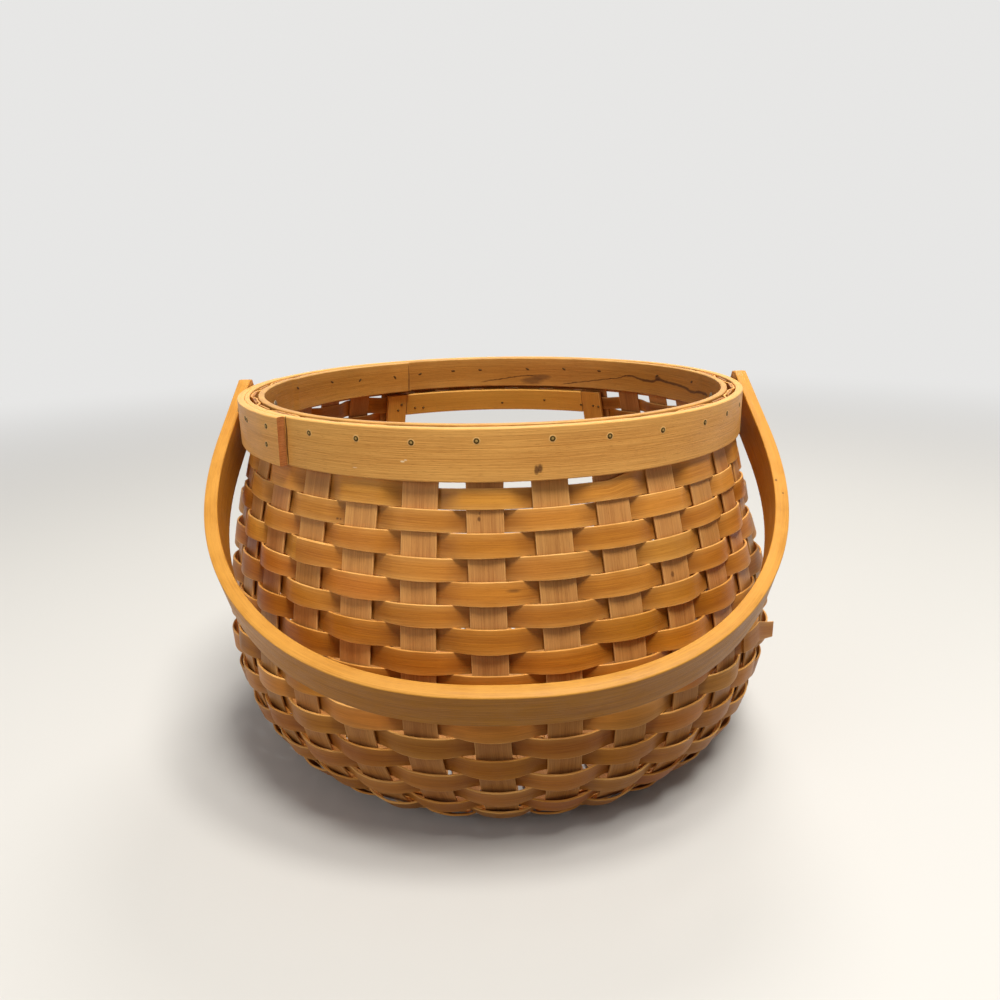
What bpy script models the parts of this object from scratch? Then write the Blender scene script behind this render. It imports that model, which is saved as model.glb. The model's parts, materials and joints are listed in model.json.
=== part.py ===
"""Round-bellied splint basket with a swing handle and a framed opening in its back wall.

Metres, +Z up. The basket stands on z = 0 with its bounding box centred over the origin.
The handle is swung down to the front (-Y) and the opening in the wall faces the back (+Y).
"""
import math

import bmesh
import bpy
from mathutils import Vector

MM = 0.001

# Driving sizes: the whole basket
HEIGHT = 220.0 * MM                # resting plane to the top of the rim
RIM_RADIUS = 150.0 * MM            # outer face of the outer band where it lies single
NECK_SET_IN = 4.8 * MM             # the wall's middle just below the bands, in from that face
BELLY_SWELL = 18.2 * MM            # the wall's middle at its widest, out from that face
BELLY_DROP = 134.0 * MM            # how far the widest place lies below the rim top
SHOULDER_POWER = 1.42              # how the wall swells from the neck to the belly
BOWL_POWER = 2.1                   # how round the wall turns under, 2 being an ellipse
BODY_LEAN = 1.8 * MM               # the hand-woven body sits this far towards +X of its rim
GAP = 0.3 * MM                     # air between pieces that lie on each other

# Driving sizes: splints
STAKE_COUNT = 32                   # upright ends around the rim, two for each long splint
STAKE_WIDTH = 16.5 * MM
STAKE_THICKNESS = 1.2 * MM
WEAVER_THICKNESS = 1.2 * MM
WEAVER_ROWS = 20
ROW_GAP = 0.35 * MM                # slit between two rows
BASE_PITCH = 20.0 * MM             # spacing of the splints where they cross under the basket
SPLINT_BEND = 2.5 * MM             # length over which a splint turns from the base to its stake
NECK_SLIT = 2.6 * MM               # from the outer band down to where the rows begin
FIRST_ROW_TRIM = 1.2 * MM          # the first row is this much narrower at its top

# Driving sizes: bands
BAND_HEIGHT = 25.0 * MM            # outer band
INNER_BAND_HEIGHT = 22.0 * MM
OUTER_BAND_THICKNESS = 4.0 * MM
INNER_BAND_THICKNESS = 3.5 * MM
SCARF_TIP = 1.2 * MM               # thickness that a band's hidden end is planed down to
END_SET_DOWN = 0.6 * MM            # splint ends lie this far below the top of the bands

# Driving sizes: frame of the opening
FRAME_THICKNESS = 3.5 * MM
POST_WIDTH = 16.0 * MM
POST_SHIFT = 3.0 * MM              # posts stand this far past their stake, towards the opening
HEAD_REACH = 13.4 * MM             # head rails, below the top of the rows
INNER_HEAD_RISE = 4.0 * MM         # head rails above the top of the rows
OUTER_HEAD_RISE = 0.8 * MM
SILL_LAP = 3.0 * MM                # sill above and below its row

# Driving sizes: handle and its pivots
HANDLE_WIDTH = 25.4 * MM
HANDLE_THICKNESS = 7.0 * MM
HANDLE_REACH = 214.6 * MM          # pivot line to the outer face at the middle of the bow
HANDLE_LEG = 46.0 * MM             # straight stretch in front of the pivot
HANDLE_OVERHANG = 14.5 * MM        # stretch behind the pivot
HANDLE_SPREAD = 1.0 * MM           # each leg opens this much by the start of the bow
HANDLE_LEAN = 2.8 * MM             # the bow's middle lies this far towards +X
HANDLE_POWER = 2.33                # roundness of the bow, 2 being an ellipse
HANDLE_EDGE = 0.9 * MM             # broken edges
HANDLE_CORNER = 4.0 * MM           # clipped corners of its two ends
HANDLE_GAP = 0.75 * MM             # between the left leg and the lap of the band
HANDLE_SLACK = 1.65 * MM           # the right leg stands this much further off its band
PIN_RADIUS = 2.4 * MM
PIN_HEAD_RADIUS = 5.2 * MM
PIN_HEAD_HEIGHT = 2.0 * MM

# Places counted in stakes from the front, towards +X
PIVOT_STAKE = STAKE_COUNT // 4
BACK_STAKE = STAKE_COUNT // 2
POST_STEP = 3                      # posts stand this many stakes to each side of the back stake
LAP_END_SIDE = -2.7 * MM           # outer band: end of the lap beside its stake
LAP_STAKES = 5                     # stakes that the outer lap covers
LAP_END_STAKE = -STAKE_COUNT // 8
INNER_LAP_END_SIDE = -11.6 * MM
INNER_LAP_STAKES = 4
INNER_LAP_END_STAKE = BACK_STAKE + 3

# Places counted in rows from the neck
STRAIGHT_ROWS = 12                 # rows of the upper wall, three to each straight of a stake
ROWS_PER_STRAIGHT = 3
FLAT_NECK_ROWS = 3                 # first rows, which lie close so that the handle clears them
SILL_ROW = 14
SECTION_SAMPLES = 240              # points read from the wall's curve to space the rows evenly
BOW_STEPS = 30

# Sizes that follow from those above
NECK_RADIUS = RIM_RADIUS - NECK_SET_IN
BELLY_RADIUS = RIM_RADIUS + BELLY_SWELL
STEP = 2 * math.pi / STAKE_COUNT
PER_SIDE = STAKE_COUNT // 4
CROSSING = STAKE_THICKNESS / 2 + GAP + WEAVER_THICKNESS / 2
WALL_PROUD = CROSSING + WEAVER_THICKNESS / 2
FLAT_HALF = STAKE_WIDTH / 2 + 0.4 * MM
RIM_STAKE_RADIUS = (RIM_RADIUS - OUTER_BAND_THICKNESS - GAP - WALL_PROUD)
OUTERMOST = (PER_SIDE - 1) / 2 * BASE_PITCH
BASE_CORNER = (OUTERMOST + STAKE_WIDTH / 2) * math.sqrt(2)
BEND_RADIUS = OUTERMOST / math.sin((PER_SIDE - 1) / 2 * STEP)
FOOT_RADIUS = max(BASE_CORNER + GAP, BEND_RADIUS + SPLINT_BEND) + GAP
FOOT_HEIGHT = WALL_PROUD + 0.1 * MM
NECK_DROP = BAND_HEIGHT + NECK_SLIT
FIRST_POST = BACK_STAKE - POST_STEP
LAST_POST = BACK_STAKE + POST_STEP
COVER_OFFSET = WALL_PROUD + GAP + FRAME_THICKNESS / 2
PIVOT_DROP = BAND_HEIGHT / 2
PIVOT_HEIGHT = HEIGHT - PIVOT_DROP
LAP_START_STAKE = LAP_END_STAKE - LAP_STAKES
LAP_SHARE = (LAP_END_STAKE + PIVOT_STAKE) / LAP_STAKES
PIVOT_LAP = SCARF_TIP + (OUTER_BAND_THICKNESS - SCARF_TIP) * (1 - LAP_SHARE) + GAP
HOLE_RADIUS = PIN_RADIUS + GAP
LEG_RIGHT = RIM_RADIUS + HANDLE_GAP + HANDLE_SLACK
LEG_LEFT = RIM_RADIUS + PIVOT_LAP + HANDLE_GAP
HANDLE_MIDDLE = (LEG_RIGHT - LEG_LEFT) / 2
HANDLE_HALF = (LEG_RIGHT + LEG_LEFT) / 2 + HANDLE_THICKNESS / 2


def clear_scene():
    for thing in list(bpy.data.objects):
        bpy.data.objects.remove(thing, do_unlink=True)


def finish(name, colour, roughness, metallic=0.0):
    """A Principled material for one kind of piece."""
    material = bpy.data.materials.get(name) or bpy.data.materials.new(name)
    material.use_nodes = True
    shader = material.node_tree.nodes["Principled BSDF"]
    shader.inputs["Base Color"].default_value = (*colour, 1.0)
    shader.inputs["Roughness"].default_value = roughness
    shader.inputs["Metallic"].default_value = metallic
    return material


def out(angle):
    """Horizontal direction from the basket's axis to a stake, measured from the front."""
    return Vector((math.sin(angle), -math.cos(angle), 0.0))


def beside(angle):
    """Horizontal direction square to that, towards growing angles."""
    return Vector((math.cos(angle), math.sin(angle), 0.0))


def lean(point):
    """Moves a point of the wall or base to where the leaning body has it."""
    share = (HEIGHT - BAND_HEIGHT - point.z) / (BELLY_DROP - BAND_HEIGHT)
    share = min(max(share, 0.0), 1.0)
    return point + Vector((BODY_LEAN * share * share * (3 - 2 * share), 0.0, 0.0))


def wall_curve():
    """Middle of the wall from the neck to the foot, as points (radius, height)."""
    points = []
    bowl_depth = HEIGHT - FOOT_HEIGHT - BELLY_DROP
    for i in range(SECTION_SAMPLES):
        drop = NECK_DROP + (BELLY_DROP - NECK_DROP) * i / SECTION_SAMPLES
        share = (BELLY_DROP - drop) / (BELLY_DROP - NECK_DROP)
        radius = BELLY_RADIUS - (BELLY_RADIUS - NECK_RADIUS) * share ** SHOULDER_POWER
        points.append(Vector((radius, HEIGHT - drop)))
    for i in range(SECTION_SAMPLES + 1):
        turn = math.pi / 2 * i / SECTION_SAMPLES
        radius = FOOT_RADIUS + (BELLY_RADIUS - FOOT_RADIUS) * math.cos(turn) ** (2 / BOWL_POWER)
        drop = BELLY_DROP + bowl_depth * math.sin(turn) ** (2 / BOWL_POWER)
        points.append(Vector((radius, HEIGHT - drop)))
    return points


def spaced(points, count):
    """Points at equal steps along a polyline, its two ends included."""
    lengths = [0.0]
    for a, b in zip(points, points[1:]):
        lengths.append(lengths[-1] + (b - a).length)
    result = []
    place = 0
    for i in range(count + 1):
        wanted = lengths[-1] * i / count
        while place < len(points) - 2 and lengths[place + 1] < wanted:
            place += 1
        part = (wanted - lengths[place]) / (lengths[place + 1] - lengths[place])
        result.append(points[place].lerp(points[place + 1], part))
    return result


ROW_EDGES = spaced(wall_curve(), WEAVER_ROWS)


def stake_knots():
    """Bends of a stake from the neck to the foot; the rows between two knots lie in one plane."""
    upper = [ROW_EDGES[i] for i in range(0, STRAIGHT_ROWS, ROWS_PER_STRAIGHT)]
    return upper + ROW_EDGES[STRAIGHT_ROWS:]


def row_span(row):
    """Upper and lower limit of a row, on the straight of the stakes that it lies on."""
    if row > STRAIGHT_ROWS:
        return ROW_EDGES[row - 1], ROW_EDGES[row]
    first = (row - 1) // ROWS_PER_STRAIGHT * ROWS_PER_STRAIGHT
    top = ROW_EDGES[first]
    bottom = ROW_EDGES[first + ROWS_PER_STRAIGHT]
    place = row - 1 - first
    return (top.lerp(bottom, place / ROWS_PER_STRAIGHT),
            top.lerp(bottom, (place + 1) / ROWS_PER_STRAIGHT))


def outward(a, b):
    """Unit normal of a downward stretch of wall, pointing out of the basket."""
    step = (b - a).normalized()
    return Vector((-step.y, step.x))


def layer(points, offset, thickness):
    """Closed outline of a layer that follows the points at an offset from the wall's middle."""
    normals = []
    for i in range(len(points)):
        sides = []
        if i > 0:
            sides.append(outward(points[i - 1], points[i]))
        if i < len(points) - 1:
            sides.append(outward(points[i], points[i + 1]))
        middle = sum(sides, Vector((0.0, 0.0))).normalized()
        normals.append(middle / middle.dot(sides[0]))
    outer = [p + n * (offset + thickness / 2) for p, n in zip(points, normals)]
    inner = [p + n * (offset - thickness / 2) for p, n in zip(points, normals)]
    return outer + inner[::-1]


def stand(outline, angle, side):
    """Sets an outline (radius, height) upright at a stake's angle, moved sideways."""
    place = beside(angle) * side
    return [lean(out(angle) * p.x + place + Vector((0.0, 0.0, p.y))) for p in outline]


def skin(name, sections, material, closed=False):
    """Object whose surface runs through the sections in turn, with flat ends if it is open."""
    mesh = bmesh.new()
    rings = [[mesh.verts.new(p) for p in section] for section in sections]
    pairs = list(zip(rings, rings[1:]))
    if closed:
        pairs.append((rings[-1], rings[0]))
    else:
        mesh.faces.new(rings[0])
        mesh.faces.new(rings[-1])
    for a, b in pairs:
        for i in range(len(a)):
            j = (i + 1) % len(a)
            mesh.faces.new((a[i], a[j], b[j], b[i]))
    return as_object(name, mesh, material)


def as_object(name, mesh, material, sharp=40):
    bmesh.ops.recalc_face_normals(mesh, faces=mesh.faces)
    data = bpy.data.meshes.new(name)
    mesh.to_mesh(data)
    mesh.free()
    data.materials.append(material)
    data.shade_smooth()
    data.set_sharp_from_angle(angle=math.radians(sharp))
    thing = bpy.data.objects.new(name, data)
    bpy.context.scene.collection.objects.link(thing)
    return thing


def arch(row):
    """How far a weaver stands off a stake's middle, outside and inside, to clear its edges."""
    top, bottom = row_span(row)
    radius = (top.x + bottom.x) / 2
    share = STAKE_WIDTH / 2 / (radius * math.sin(STEP))
    both = 2 * (CROSSING + 0.05 * MM) / (1 - 2 * share)
    lean = 2 * share * radius * (1 - math.cos(STEP))
    return (both + lean) / 2, (both - lean) / 2


def weaver(name, row, span, first, last, flat, trim, material):
    """One row over and under the stakes first..last; flat stakes get a level crossing."""
    top, bottom = span
    step = (bottom - top).normalized()
    trim_top = FIRST_ROW_TRIM if row == 1 else 0.0
    edges = [top + step * (ROW_GAP / 2 + trim_top), bottom - step * ROW_GAP / 2]
    sections = []
    for stake in range(first, last + 1):
        sign = 1 if (row + stake) % 2 else -1
        angle = stake * STEP
        if stake % STAKE_COUNT in flat:
            outline = layer(edges, sign * CROSSING, WEAVER_THICKNESS)
            low = trim if trim and stake == first else FLAT_HALF
            high = trim if trim and stake == last else FLAT_HALF
            sections.append(stand(outline, angle, -low))
            sections.append(stand(outline, angle, high))
        else:
            offset = arch(row)[0] if sign > 0 else -arch(row)[1]
            sections.append(stand(layer(edges, offset, WEAVER_THICKNESS), angle, 0.0))
    return skin(name, sections, material, closed=not trim)


def build_rows(material):
    """The weavers: whole rings, and in the height of the opening rows that end at the posts."""
    every = set(range(STAKE_COUNT))
    at_opening = set(range(FIRST_POST, LAST_POST + 1))
    posts = {FIRST_POST, LAST_POST}
    for row in range(1, WEAVER_ROWS + 1):
        name = f"weaver_row_{row:02d}"
        if 1 < row < SILL_ROW:
            flat = every if row <= FLAT_NECK_ROWS else posts
            weaver(name, row, row_span(row), LAST_POST, FIRST_POST + STAKE_COUNT, flat,
                   POST_SHIFT + POST_WIDTH / 2 - 2 * GAP, material)
        else:
            weaver(name, row, row_span(row), 0, STAKE_COUNT - 1, every | at_opening, 0.0, material)
    rim_top = Vector((RIM_STAKE_RADIUS, HEIGHT - END_SET_DOWN))
    rim_bottom = Vector((RIM_STAKE_RADIUS, HEIGHT - INNER_BAND_HEIGHT + GAP))
    weaver("rim_weaver", 0, (rim_top, rim_bottom), 0, STAKE_COUNT - 1, every, 0.0, material)


def strip(name, points, turns, material):
    """A flat splint along the points; turns holds the plan direction of each stretch."""
    across = []
    faces = []
    for a, b, turn in zip(points, points[1:], turns):
        side = beside(turn)
        across.append(side)
        faces.append(side.cross((b - a).normalized()))
    sections = []
    for i, point in enumerate(points):
        before = max(i - 1, 0)
        after = min(i, len(across) - 1)
        side = (across[before] + across[after]).normalized()
        side = side / side.dot(across[after])
        up = (faces[before] + faces[after]).normalized()
        up = up / up.dot(faces[after])
        w = side * STAKE_WIDTH / 2
        t = up * STAKE_THICKNESS / 2
        corners = [point + w + t, point - w + t, point - w - t, point + w - t]
        sections.append([lean(corner) for corner in corners])
    return skin(name, sections, material)


def half_splint(side_angle, line, levels, knots):
    """Points from the last base crossing out to the foot and up one stake, with plan turns."""
    along = (line - (PER_SIDE - 1) / 2) * BASE_PITCH
    stake_angle = side_angle + (line - (PER_SIDE - 1) / 2) * STEP
    reach = along / math.tan(stake_angle - side_angle)
    corner = out(side_angle) * reach + beside(side_angle) * along
    lift = Vector((0.0, 0.0, FOOT_HEIGHT))
    points = [corner - out(side_angle) * SPLINT_BEND + lift,
              corner + out(stake_angle) * SPLINT_BEND + lift]
    turns = [side_angle, (side_angle + stake_angle) / 2]
    for knot in knots:
        points.append(out(stake_angle) * knot.x + Vector((0.0, 0.0, knot.y)))
        turns.append(stake_angle)
    return levels + points, [side_angle] * (len(levels) - 1) + turns


def base_points(side_angle, line, first_high):
    """Upper half of a splint's way across the base: from the middle outwards to one side."""
    along = (line - (PER_SIDE - 1) / 2) * BASE_PITCH
    flat = STAKE_WIDTH / 2 + 0.2 * MM
    points = []
    for crossing in range(PER_SIDE // 2):
        middle = (crossing + 0.5) * BASE_PITCH
        high = (crossing + first_high) % 2
        height = STAKE_THICKNESS / 2 + high * CROSSING
        for shift in (-flat, flat):
            points.append(out(side_angle) * (middle + shift) + beside(side_angle) * along
                          + Vector((0.0, 0.0, height)))
    return points


def long_splint(name, side_angle, line, back_knots, material):
    """One splint: down a stake, across the base and up the stake on the other side."""
    knots = rim_knots()
    parity = line % 2
    near, near_turns = half_splint(side_angle, line, base_points(side_angle, line, parity), knots)
    far_angle = side_angle + math.pi
    far_line = PER_SIDE - 1 - line
    far, far_turns = half_splint(far_angle, far_line,
                                 base_points(far_angle, far_line, 1 - parity), back_knots)
    points = near[::-1] + far
    turns = [turn + math.pi for turn in near_turns[::-1]] + [far_angle] + far_turns
    return strip(name, points, turns, material)


def rim_knots():
    """Knots of a whole stake, from the foot up to its end between the bands."""
    rim = [Vector((RIM_STAKE_RADIUS, HEIGHT - END_SET_DOWN)),
           Vector((RIM_STAKE_RADIUS, HEIGHT - BAND_HEIGHT))]
    return (rim + stake_knots())[::-1]


def sill_knots():
    """Knots of a stake that ends inside the sill of the opening."""
    below = [edge for edge in ROW_EDGES[SILL_ROW:]]
    lower = ROW_EDGES[SILL_ROW - 1]
    upper = lower.lerp(ROW_EDGES[SILL_ROW - 2], 0.1)
    return ([upper, lower] + below)[::-1]


def build_splints(material):
    """Eight splints from front to back and eight from side to side, woven under the basket."""
    front = STEP / 2
    for line in range(PER_SIDE):
        far_stake = BACK_STAKE + PER_SIDE // 2 - line
        cut = FIRST_POST < far_stake < LAST_POST
        knots = sill_knots() if cut else rim_knots()
        long_splint(f"splint_front_{line + 1}", front, line, knots, material)
    for line in range(PER_SIDE):
        long_splint(f"splint_side_{line + 1}", front + math.pi / 2, line, rim_knots(), material)


def build_stubs(material):
    """The upper ends of the five stakes that the opening interrupts, held under the head rail."""
    first, second = head_points(OUTER_HEAD_RISE)
    below = second.lerp(first, 0.06)
    points = [Vector((RIM_STAKE_RADIUS, HEIGHT - END_SET_DOWN)),
              Vector((RIM_STAKE_RADIUS, HEIGHT - BAND_HEIGHT)), ROW_EDGES[0], below]
    outline = layer(points, 0.0, STAKE_THICKNESS)
    for stake in range(FIRST_POST + 1, LAST_POST):
        sections = [stand(outline, stake * STEP, side)
                    for side in (-STAKE_WIDTH / 2, STAKE_WIDTH / 2)]
        skin(f"opening_stub_{stake - FIRST_POST}", sections, material)


def head_points(rise):
    """Upper and lower edge of a head rail, in the plane of the first rows."""
    top, bottom = ROW_EDGES[0], ROW_EDGES[ROWS_PER_STRAIGHT]
    step = (bottom - top).normalized()
    return top - step * rise, top + step * HEAD_REACH


def sill_points():
    """Section line of the sill, which bends with the wall above and below its row."""
    above, top, bottom, below = ROW_EDGES[SILL_ROW - 2:SILL_ROW + 2]
    return [top + (above - top).normalized() * SILL_LAP, top, bottom,
            bottom + (below - bottom).normalized() * SILL_LAP]


def build_frame(material):
    """Posts and rails inside and outside the wall around the opening."""
    butt = POST_SHIFT + POST_WIDTH / 2 + GAP
    for place, sign, rise in (("inner", -1, INNER_HEAD_RISE), ("outer", 1, OUTER_HEAD_RISE)):
        head = head_points(rise)
        post_line = [head[0]] + stake_knots()[1:stake_knots().index(ROW_EDGES[SILL_ROW]) + 1]
        post_line.append(sill_points()[-1])
        outline = layer(post_line, sign * COVER_OFFSET, FRAME_THICKNESS)
        for side, stake, shift in (("left", LAST_POST, -POST_SHIFT),
                                   ("right", FIRST_POST, POST_SHIFT)):
            sections = [stand(outline, stake * STEP, shift + edge)
                        for edge in (-POST_WIDTH / 2, POST_WIDTH / 2)]
            skin(f"{place}_post_{side}", sections, material)
        for rail, points in (("head", head), ("sill", sill_points())):
            outline = layer(points, sign * COVER_OFFSET, FRAME_THICKNESS)
            sections = [stand(outline, FIRST_POST * STEP, butt)]
            for stake in range(FIRST_POST + 1, LAST_POST):
                for shift in (-FLAT_HALF, FLAT_HALF):
                    sections.append(stand(outline, stake * STEP, shift))
            sections.append(stand(outline, LAST_POST * STEP, -butt))
            skin(f"{place}_{rail}_rail", sections, material)


def scarf(full, place, tip, root):
    """Thickness of a band's hidden end, planed down from its root to its tip."""
    share = min(max((place - tip) / (root - tip), 0.0), 1.0)
    return SCARF_TIP + (full - SCARF_TIP) * share


def band(name, sign, height, stations, material):
    """A bent hoop; stations give stake, sideways place, lift off the wall and thickness."""
    edges = [Vector((RIM_STAKE_RADIUS, HEIGHT)), Vector((RIM_STAKE_RADIUS, HEIGHT - height))]
    sections = []
    for stake, side, lift, thickness in stations:
        offset = sign * (WALL_PROUD + GAP + lift + thickness / 2)
        sections.append(stand(layer(edges, offset, thickness), stake * STEP, side))
    return skin(name, sections, material)


def build_bands(material):
    """Outer and inner hoop, each lapped over its own end and nailed through the stakes."""
    full = OUTER_BAND_THICKNESS
    start = LAP_START_STAKE
    stations = []
    for stake in range(start, LAP_END_STAKE + STAKE_COUNT + 1):
        for side in (-FLAT_HALF, FLAT_HALF):
            if stake == start and side < 0:
                side += 1.0 * MM
            if stake == LAP_END_STAKE + STAKE_COUNT and side > 0:
                side = LAP_END_SIDE
            place = stake + side / (STEP * RIM_RADIUS)
            hidden = scarf(full, place, start, LAP_END_STAKE)
            cover = scarf(full, place - STAKE_COUNT, start, LAP_END_STAKE)
            if stake < start + STAKE_COUNT:
                stations.append((stake, side, 0.0, hidden))
            else:
                stations.append((stake, side, cover + GAP, full))
    outer = band("outer_rim_band", 1, BAND_HEIGHT, stations, material)

    full = INNER_BAND_THICKNESS
    start = INNER_LAP_END_STAKE
    tip = start + INNER_LAP_STAKES
    stations = []
    for stake in range(start, tip + STAKE_COUNT):
        for side in (-FLAT_HALF, FLAT_HALF):
            if stake == start and side < 0:
                side = INNER_LAP_END_SIDE
            if stake == tip + STAKE_COUNT - 1 and side > 0:
                side -= 1.0 * MM
            place = stake + side / (STEP * RIM_RADIUS)
            if stake < tip:
                stations.append((stake, side, scarf(full, place, tip, start) + GAP, full))
            else:
                hidden = scarf(full, place - STAKE_COUNT, tip, start)
                stations.append((stake, side, 0.0, hidden))
    inner = band("inner_rim_band", -1, INNER_BAND_HEIGHT, stations, material)
    return outer, inner


def rest_angle():
    """How far the handle dips below level until its lower inner edge lies on the wall."""
    curve = wall_curve()
    reach = HANDLE_REACH - HANDLE_THICKNESS
    low, high = 0.0, math.pi / 3
    for _ in range(40):
        dip = (low + high) / 2
        edge = reach * math.cos(dip) - HANDLE_WIDTH / 2 * math.sin(dip)
        height = PIVOT_HEIGHT - reach * math.sin(dip) - HANDLE_WIDTH / 2 * math.cos(dip)
        wall = min(curve, key=lambda p: abs(p.y - height)).x
        if edge > wall + arch(STRAIGHT_ROWS - 2)[0] + WEAVER_THICKNESS / 2 + GAP:
            low = dip
        else:
            high = dip
    return low


def handle_point(x, y):
    """A point of the handle's middle line, with the whole strip leaning to one side."""
    return Vector((x + HANDLE_LEAN * y / HANDLE_REACH, y))


def handle_line():
    """Middle of the bent strip in its own plane: x across, y towards its bow."""
    bow = HANDLE_REACH - HANDLE_THICKNESS / 2 - HANDLE_LEG
    widest = HANDLE_HALF + HANDLE_SPREAD
    leg = []
    for y in (-HANDLE_OVERHANG, HANDLE_CORNER - HANDLE_OVERHANG):
        leg.append((HANDLE_HALF + HANDLE_SPREAD * y / HANDLE_LEG, y))
    points = [handle_point(-x, y) for x, y in leg]
    for i in range(BOW_STEPS + 1):
        turn = math.pi * i / BOW_STEPS
        x = -math.copysign(abs(math.cos(turn)) ** (2 / HANDLE_POWER), math.cos(turn))
        y = math.sin(turn) ** (2 / HANDLE_POWER) if 0 < i < BOW_STEPS else 0.0
        points.append(handle_point(x * widest, HANDLE_LEG + y * bow))
    return points + [handle_point(x, y) for x, y in reversed(leg)]


def build_handle(material):
    """Bentwood bail: one strip with broken edges, its origin on the pivot line."""
    line = handle_line()
    sections = []
    for i, point in enumerate(line):
        before = (point - line[i - 1]).normalized() if i else (line[1] - point).normalized()
        after = (line[i + 1] - point).normalized() if i < len(line) - 1 else before
        tangent = (before + after).normalized()
        side = Vector((tangent.y, -tangent.x)) / max(tangent.dot(after), 0.5)
        clip = HANDLE_CORNER if i in (0, len(line) - 1) else 0.0
        half = HANDLE_WIDTH / 2 - clip
        edge = HANDLE_EDGE
        thick = HANDLE_THICKNESS / 2
        corners = [(thick, half - edge), (thick - edge, half), (edge - thick, half),
                   (-thick, half - edge), (-thick, edge - half), (edge - thick, -half),
                   (thick - edge, -half), (thick, edge - half)]
        ring = []
        for t, w in corners:
            flat = point + side * t
            ring.append(Vector((flat.x, -flat.y, w)))
        sections.append(ring)
    handle = skin("swing_handle", sections, material)
    handle.location = (HANDLE_MIDDLE, 0.0, PIVOT_HEIGHT)
    handle.rotation_euler.x = rest_angle()
    return handle


def pivot_cutter():
    """Round cutter along the pivot line, for the holes that the two pins sit in."""
    bpy.ops.mesh.primitive_cylinder_add(vertices=12, radius=HOLE_RADIUS, depth=4 * RIM_RADIUS,
                                        location=(0.0, 0.0, PIVOT_HEIGHT),
                                        rotation=(0.0, math.pi / 2, 0.0))
    cutter = bpy.context.object
    cutter.name = "pivot_cutter"
    cutter.hide_render = True
    cutter.display_type = "WIRE"
    return cutter


def drill(thing, cutter):
    hole = thing.modifiers.new("pivot_hole", "BOOLEAN")
    hole.operation = "DIFFERENCE"
    hole.solver = "EXACT"
    hole.object = cutter


def build_pin(name, sign, outer_face, material):
    """Rivet through the handle and both bands, with a low round head at each end."""
    inner_face = RIM_STAKE_RADIUS - WALL_PROUD - GAP - INNER_BAND_THICKNESS
    rise = PIN_HEAD_HEIGHT
    shape = [(inner_face - GAP - rise, 0.0), (inner_face - GAP - rise, PIN_HEAD_RADIUS * 0.6),
             (inner_face - GAP - rise * 0.4, PIN_HEAD_RADIUS), (inner_face - GAP, PIN_HEAD_RADIUS),
             (inner_face - GAP, PIN_RADIUS), (outer_face + GAP, PIN_RADIUS),
             (outer_face + GAP, PIN_HEAD_RADIUS), (outer_face + GAP + rise * 0.4, PIN_HEAD_RADIUS),
             (outer_face + GAP + rise, PIN_HEAD_RADIUS * 0.6), (outer_face + GAP + rise, 0.0)]
    mesh = bmesh.new()
    chain = [mesh.verts.new((x, 0.0, r)) for x, r in shape]
    edges = [mesh.edges.new(pair) for pair in zip(chain, chain[1:])]
    bmesh.ops.spin(mesh, geom=chain + edges, axis=(1.0, 0.0, 0.0), cent=(0.0, 0.0, 0.0),
                   angle=2 * math.pi, steps=12, use_merge=True)
    bmesh.ops.remove_doubles(mesh, verts=mesh.verts, dist=0.01 * MM)
    pin = as_object(name, mesh, material)
    pin.location = (0.0, 0.0, PIVOT_HEIGHT)
    pin.rotation_euler.z = 0.0 if sign > 0 else math.pi
    return pin


def centre_over_origin(pieces):
    """Moves all pieces together, so that the bounding box stands centred over the origin."""
    bpy.context.view_layer.update()
    corners = [piece.matrix_world @ Vector(vertex.co) for piece in pieces
               for vertex in piece.data.vertices]
    middle_x = (min(c.x for c in corners) + max(c.x for c in corners)) / 2
    middle_y = (min(c.y for c in corners) + max(c.y for c in corners)) / 2
    axis = bpy.data.objects.new("basket_axis", None)
    bpy.context.scene.collection.objects.link(axis)
    for piece in bpy.data.objects:
        if piece is not axis:
            piece.parent = axis
    axis.location = (-middle_x, -middle_y, 0.0)


clear_scene()
weaver_wood = finish("weaver_wood", (0.52, 0.25, 0.09), 0.42)
stake_wood = finish("stake_wood", (0.56, 0.31, 0.15), 0.5)
band_wood = finish("band_wood", (0.6, 0.36, 0.16), 0.45)
frame_wood = finish("frame_wood", (0.5, 0.27, 0.1), 0.45)
handle_wood = finish("handle_wood", (0.66, 0.38, 0.13), 0.4)
pin_metal = finish("pin_metal", (0.35, 0.32, 0.28), 0.4, 0.9)

build_rows(weaver_wood)
build_splints(stake_wood)
build_stubs(stake_wood)
build_frame(frame_wood)
outer_band, inner_band = build_bands(band_wood)
swing_handle = build_handle(handle_wood)
build_pin("pivot_pin_right", 1, LEG_RIGHT + HANDLE_THICKNESS, pin_metal)
build_pin("pivot_pin_left", -1, LEG_LEFT + HANDLE_THICKNESS, pin_metal)

solids = list(bpy.data.objects)
pin_cutter = pivot_cutter()
pivot_splints = [bpy.data.objects[f"splint_side_{PER_SIDE // 2 + i}"] for i in (0, 1)]
for drilled in [outer_band, inner_band, swing_handle, bpy.data.objects["rim_weaver"],
                *pivot_splints]:
    drill(drilled, pin_cutter)
centre_over_origin(solids)
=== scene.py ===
import json
import math

import bmesh
import bpy
from mathutils import Matrix, Vector, noise
from mathutils.bvhtree import BVHTree
from mathutils.interpolate import poly_3d_calc


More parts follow.
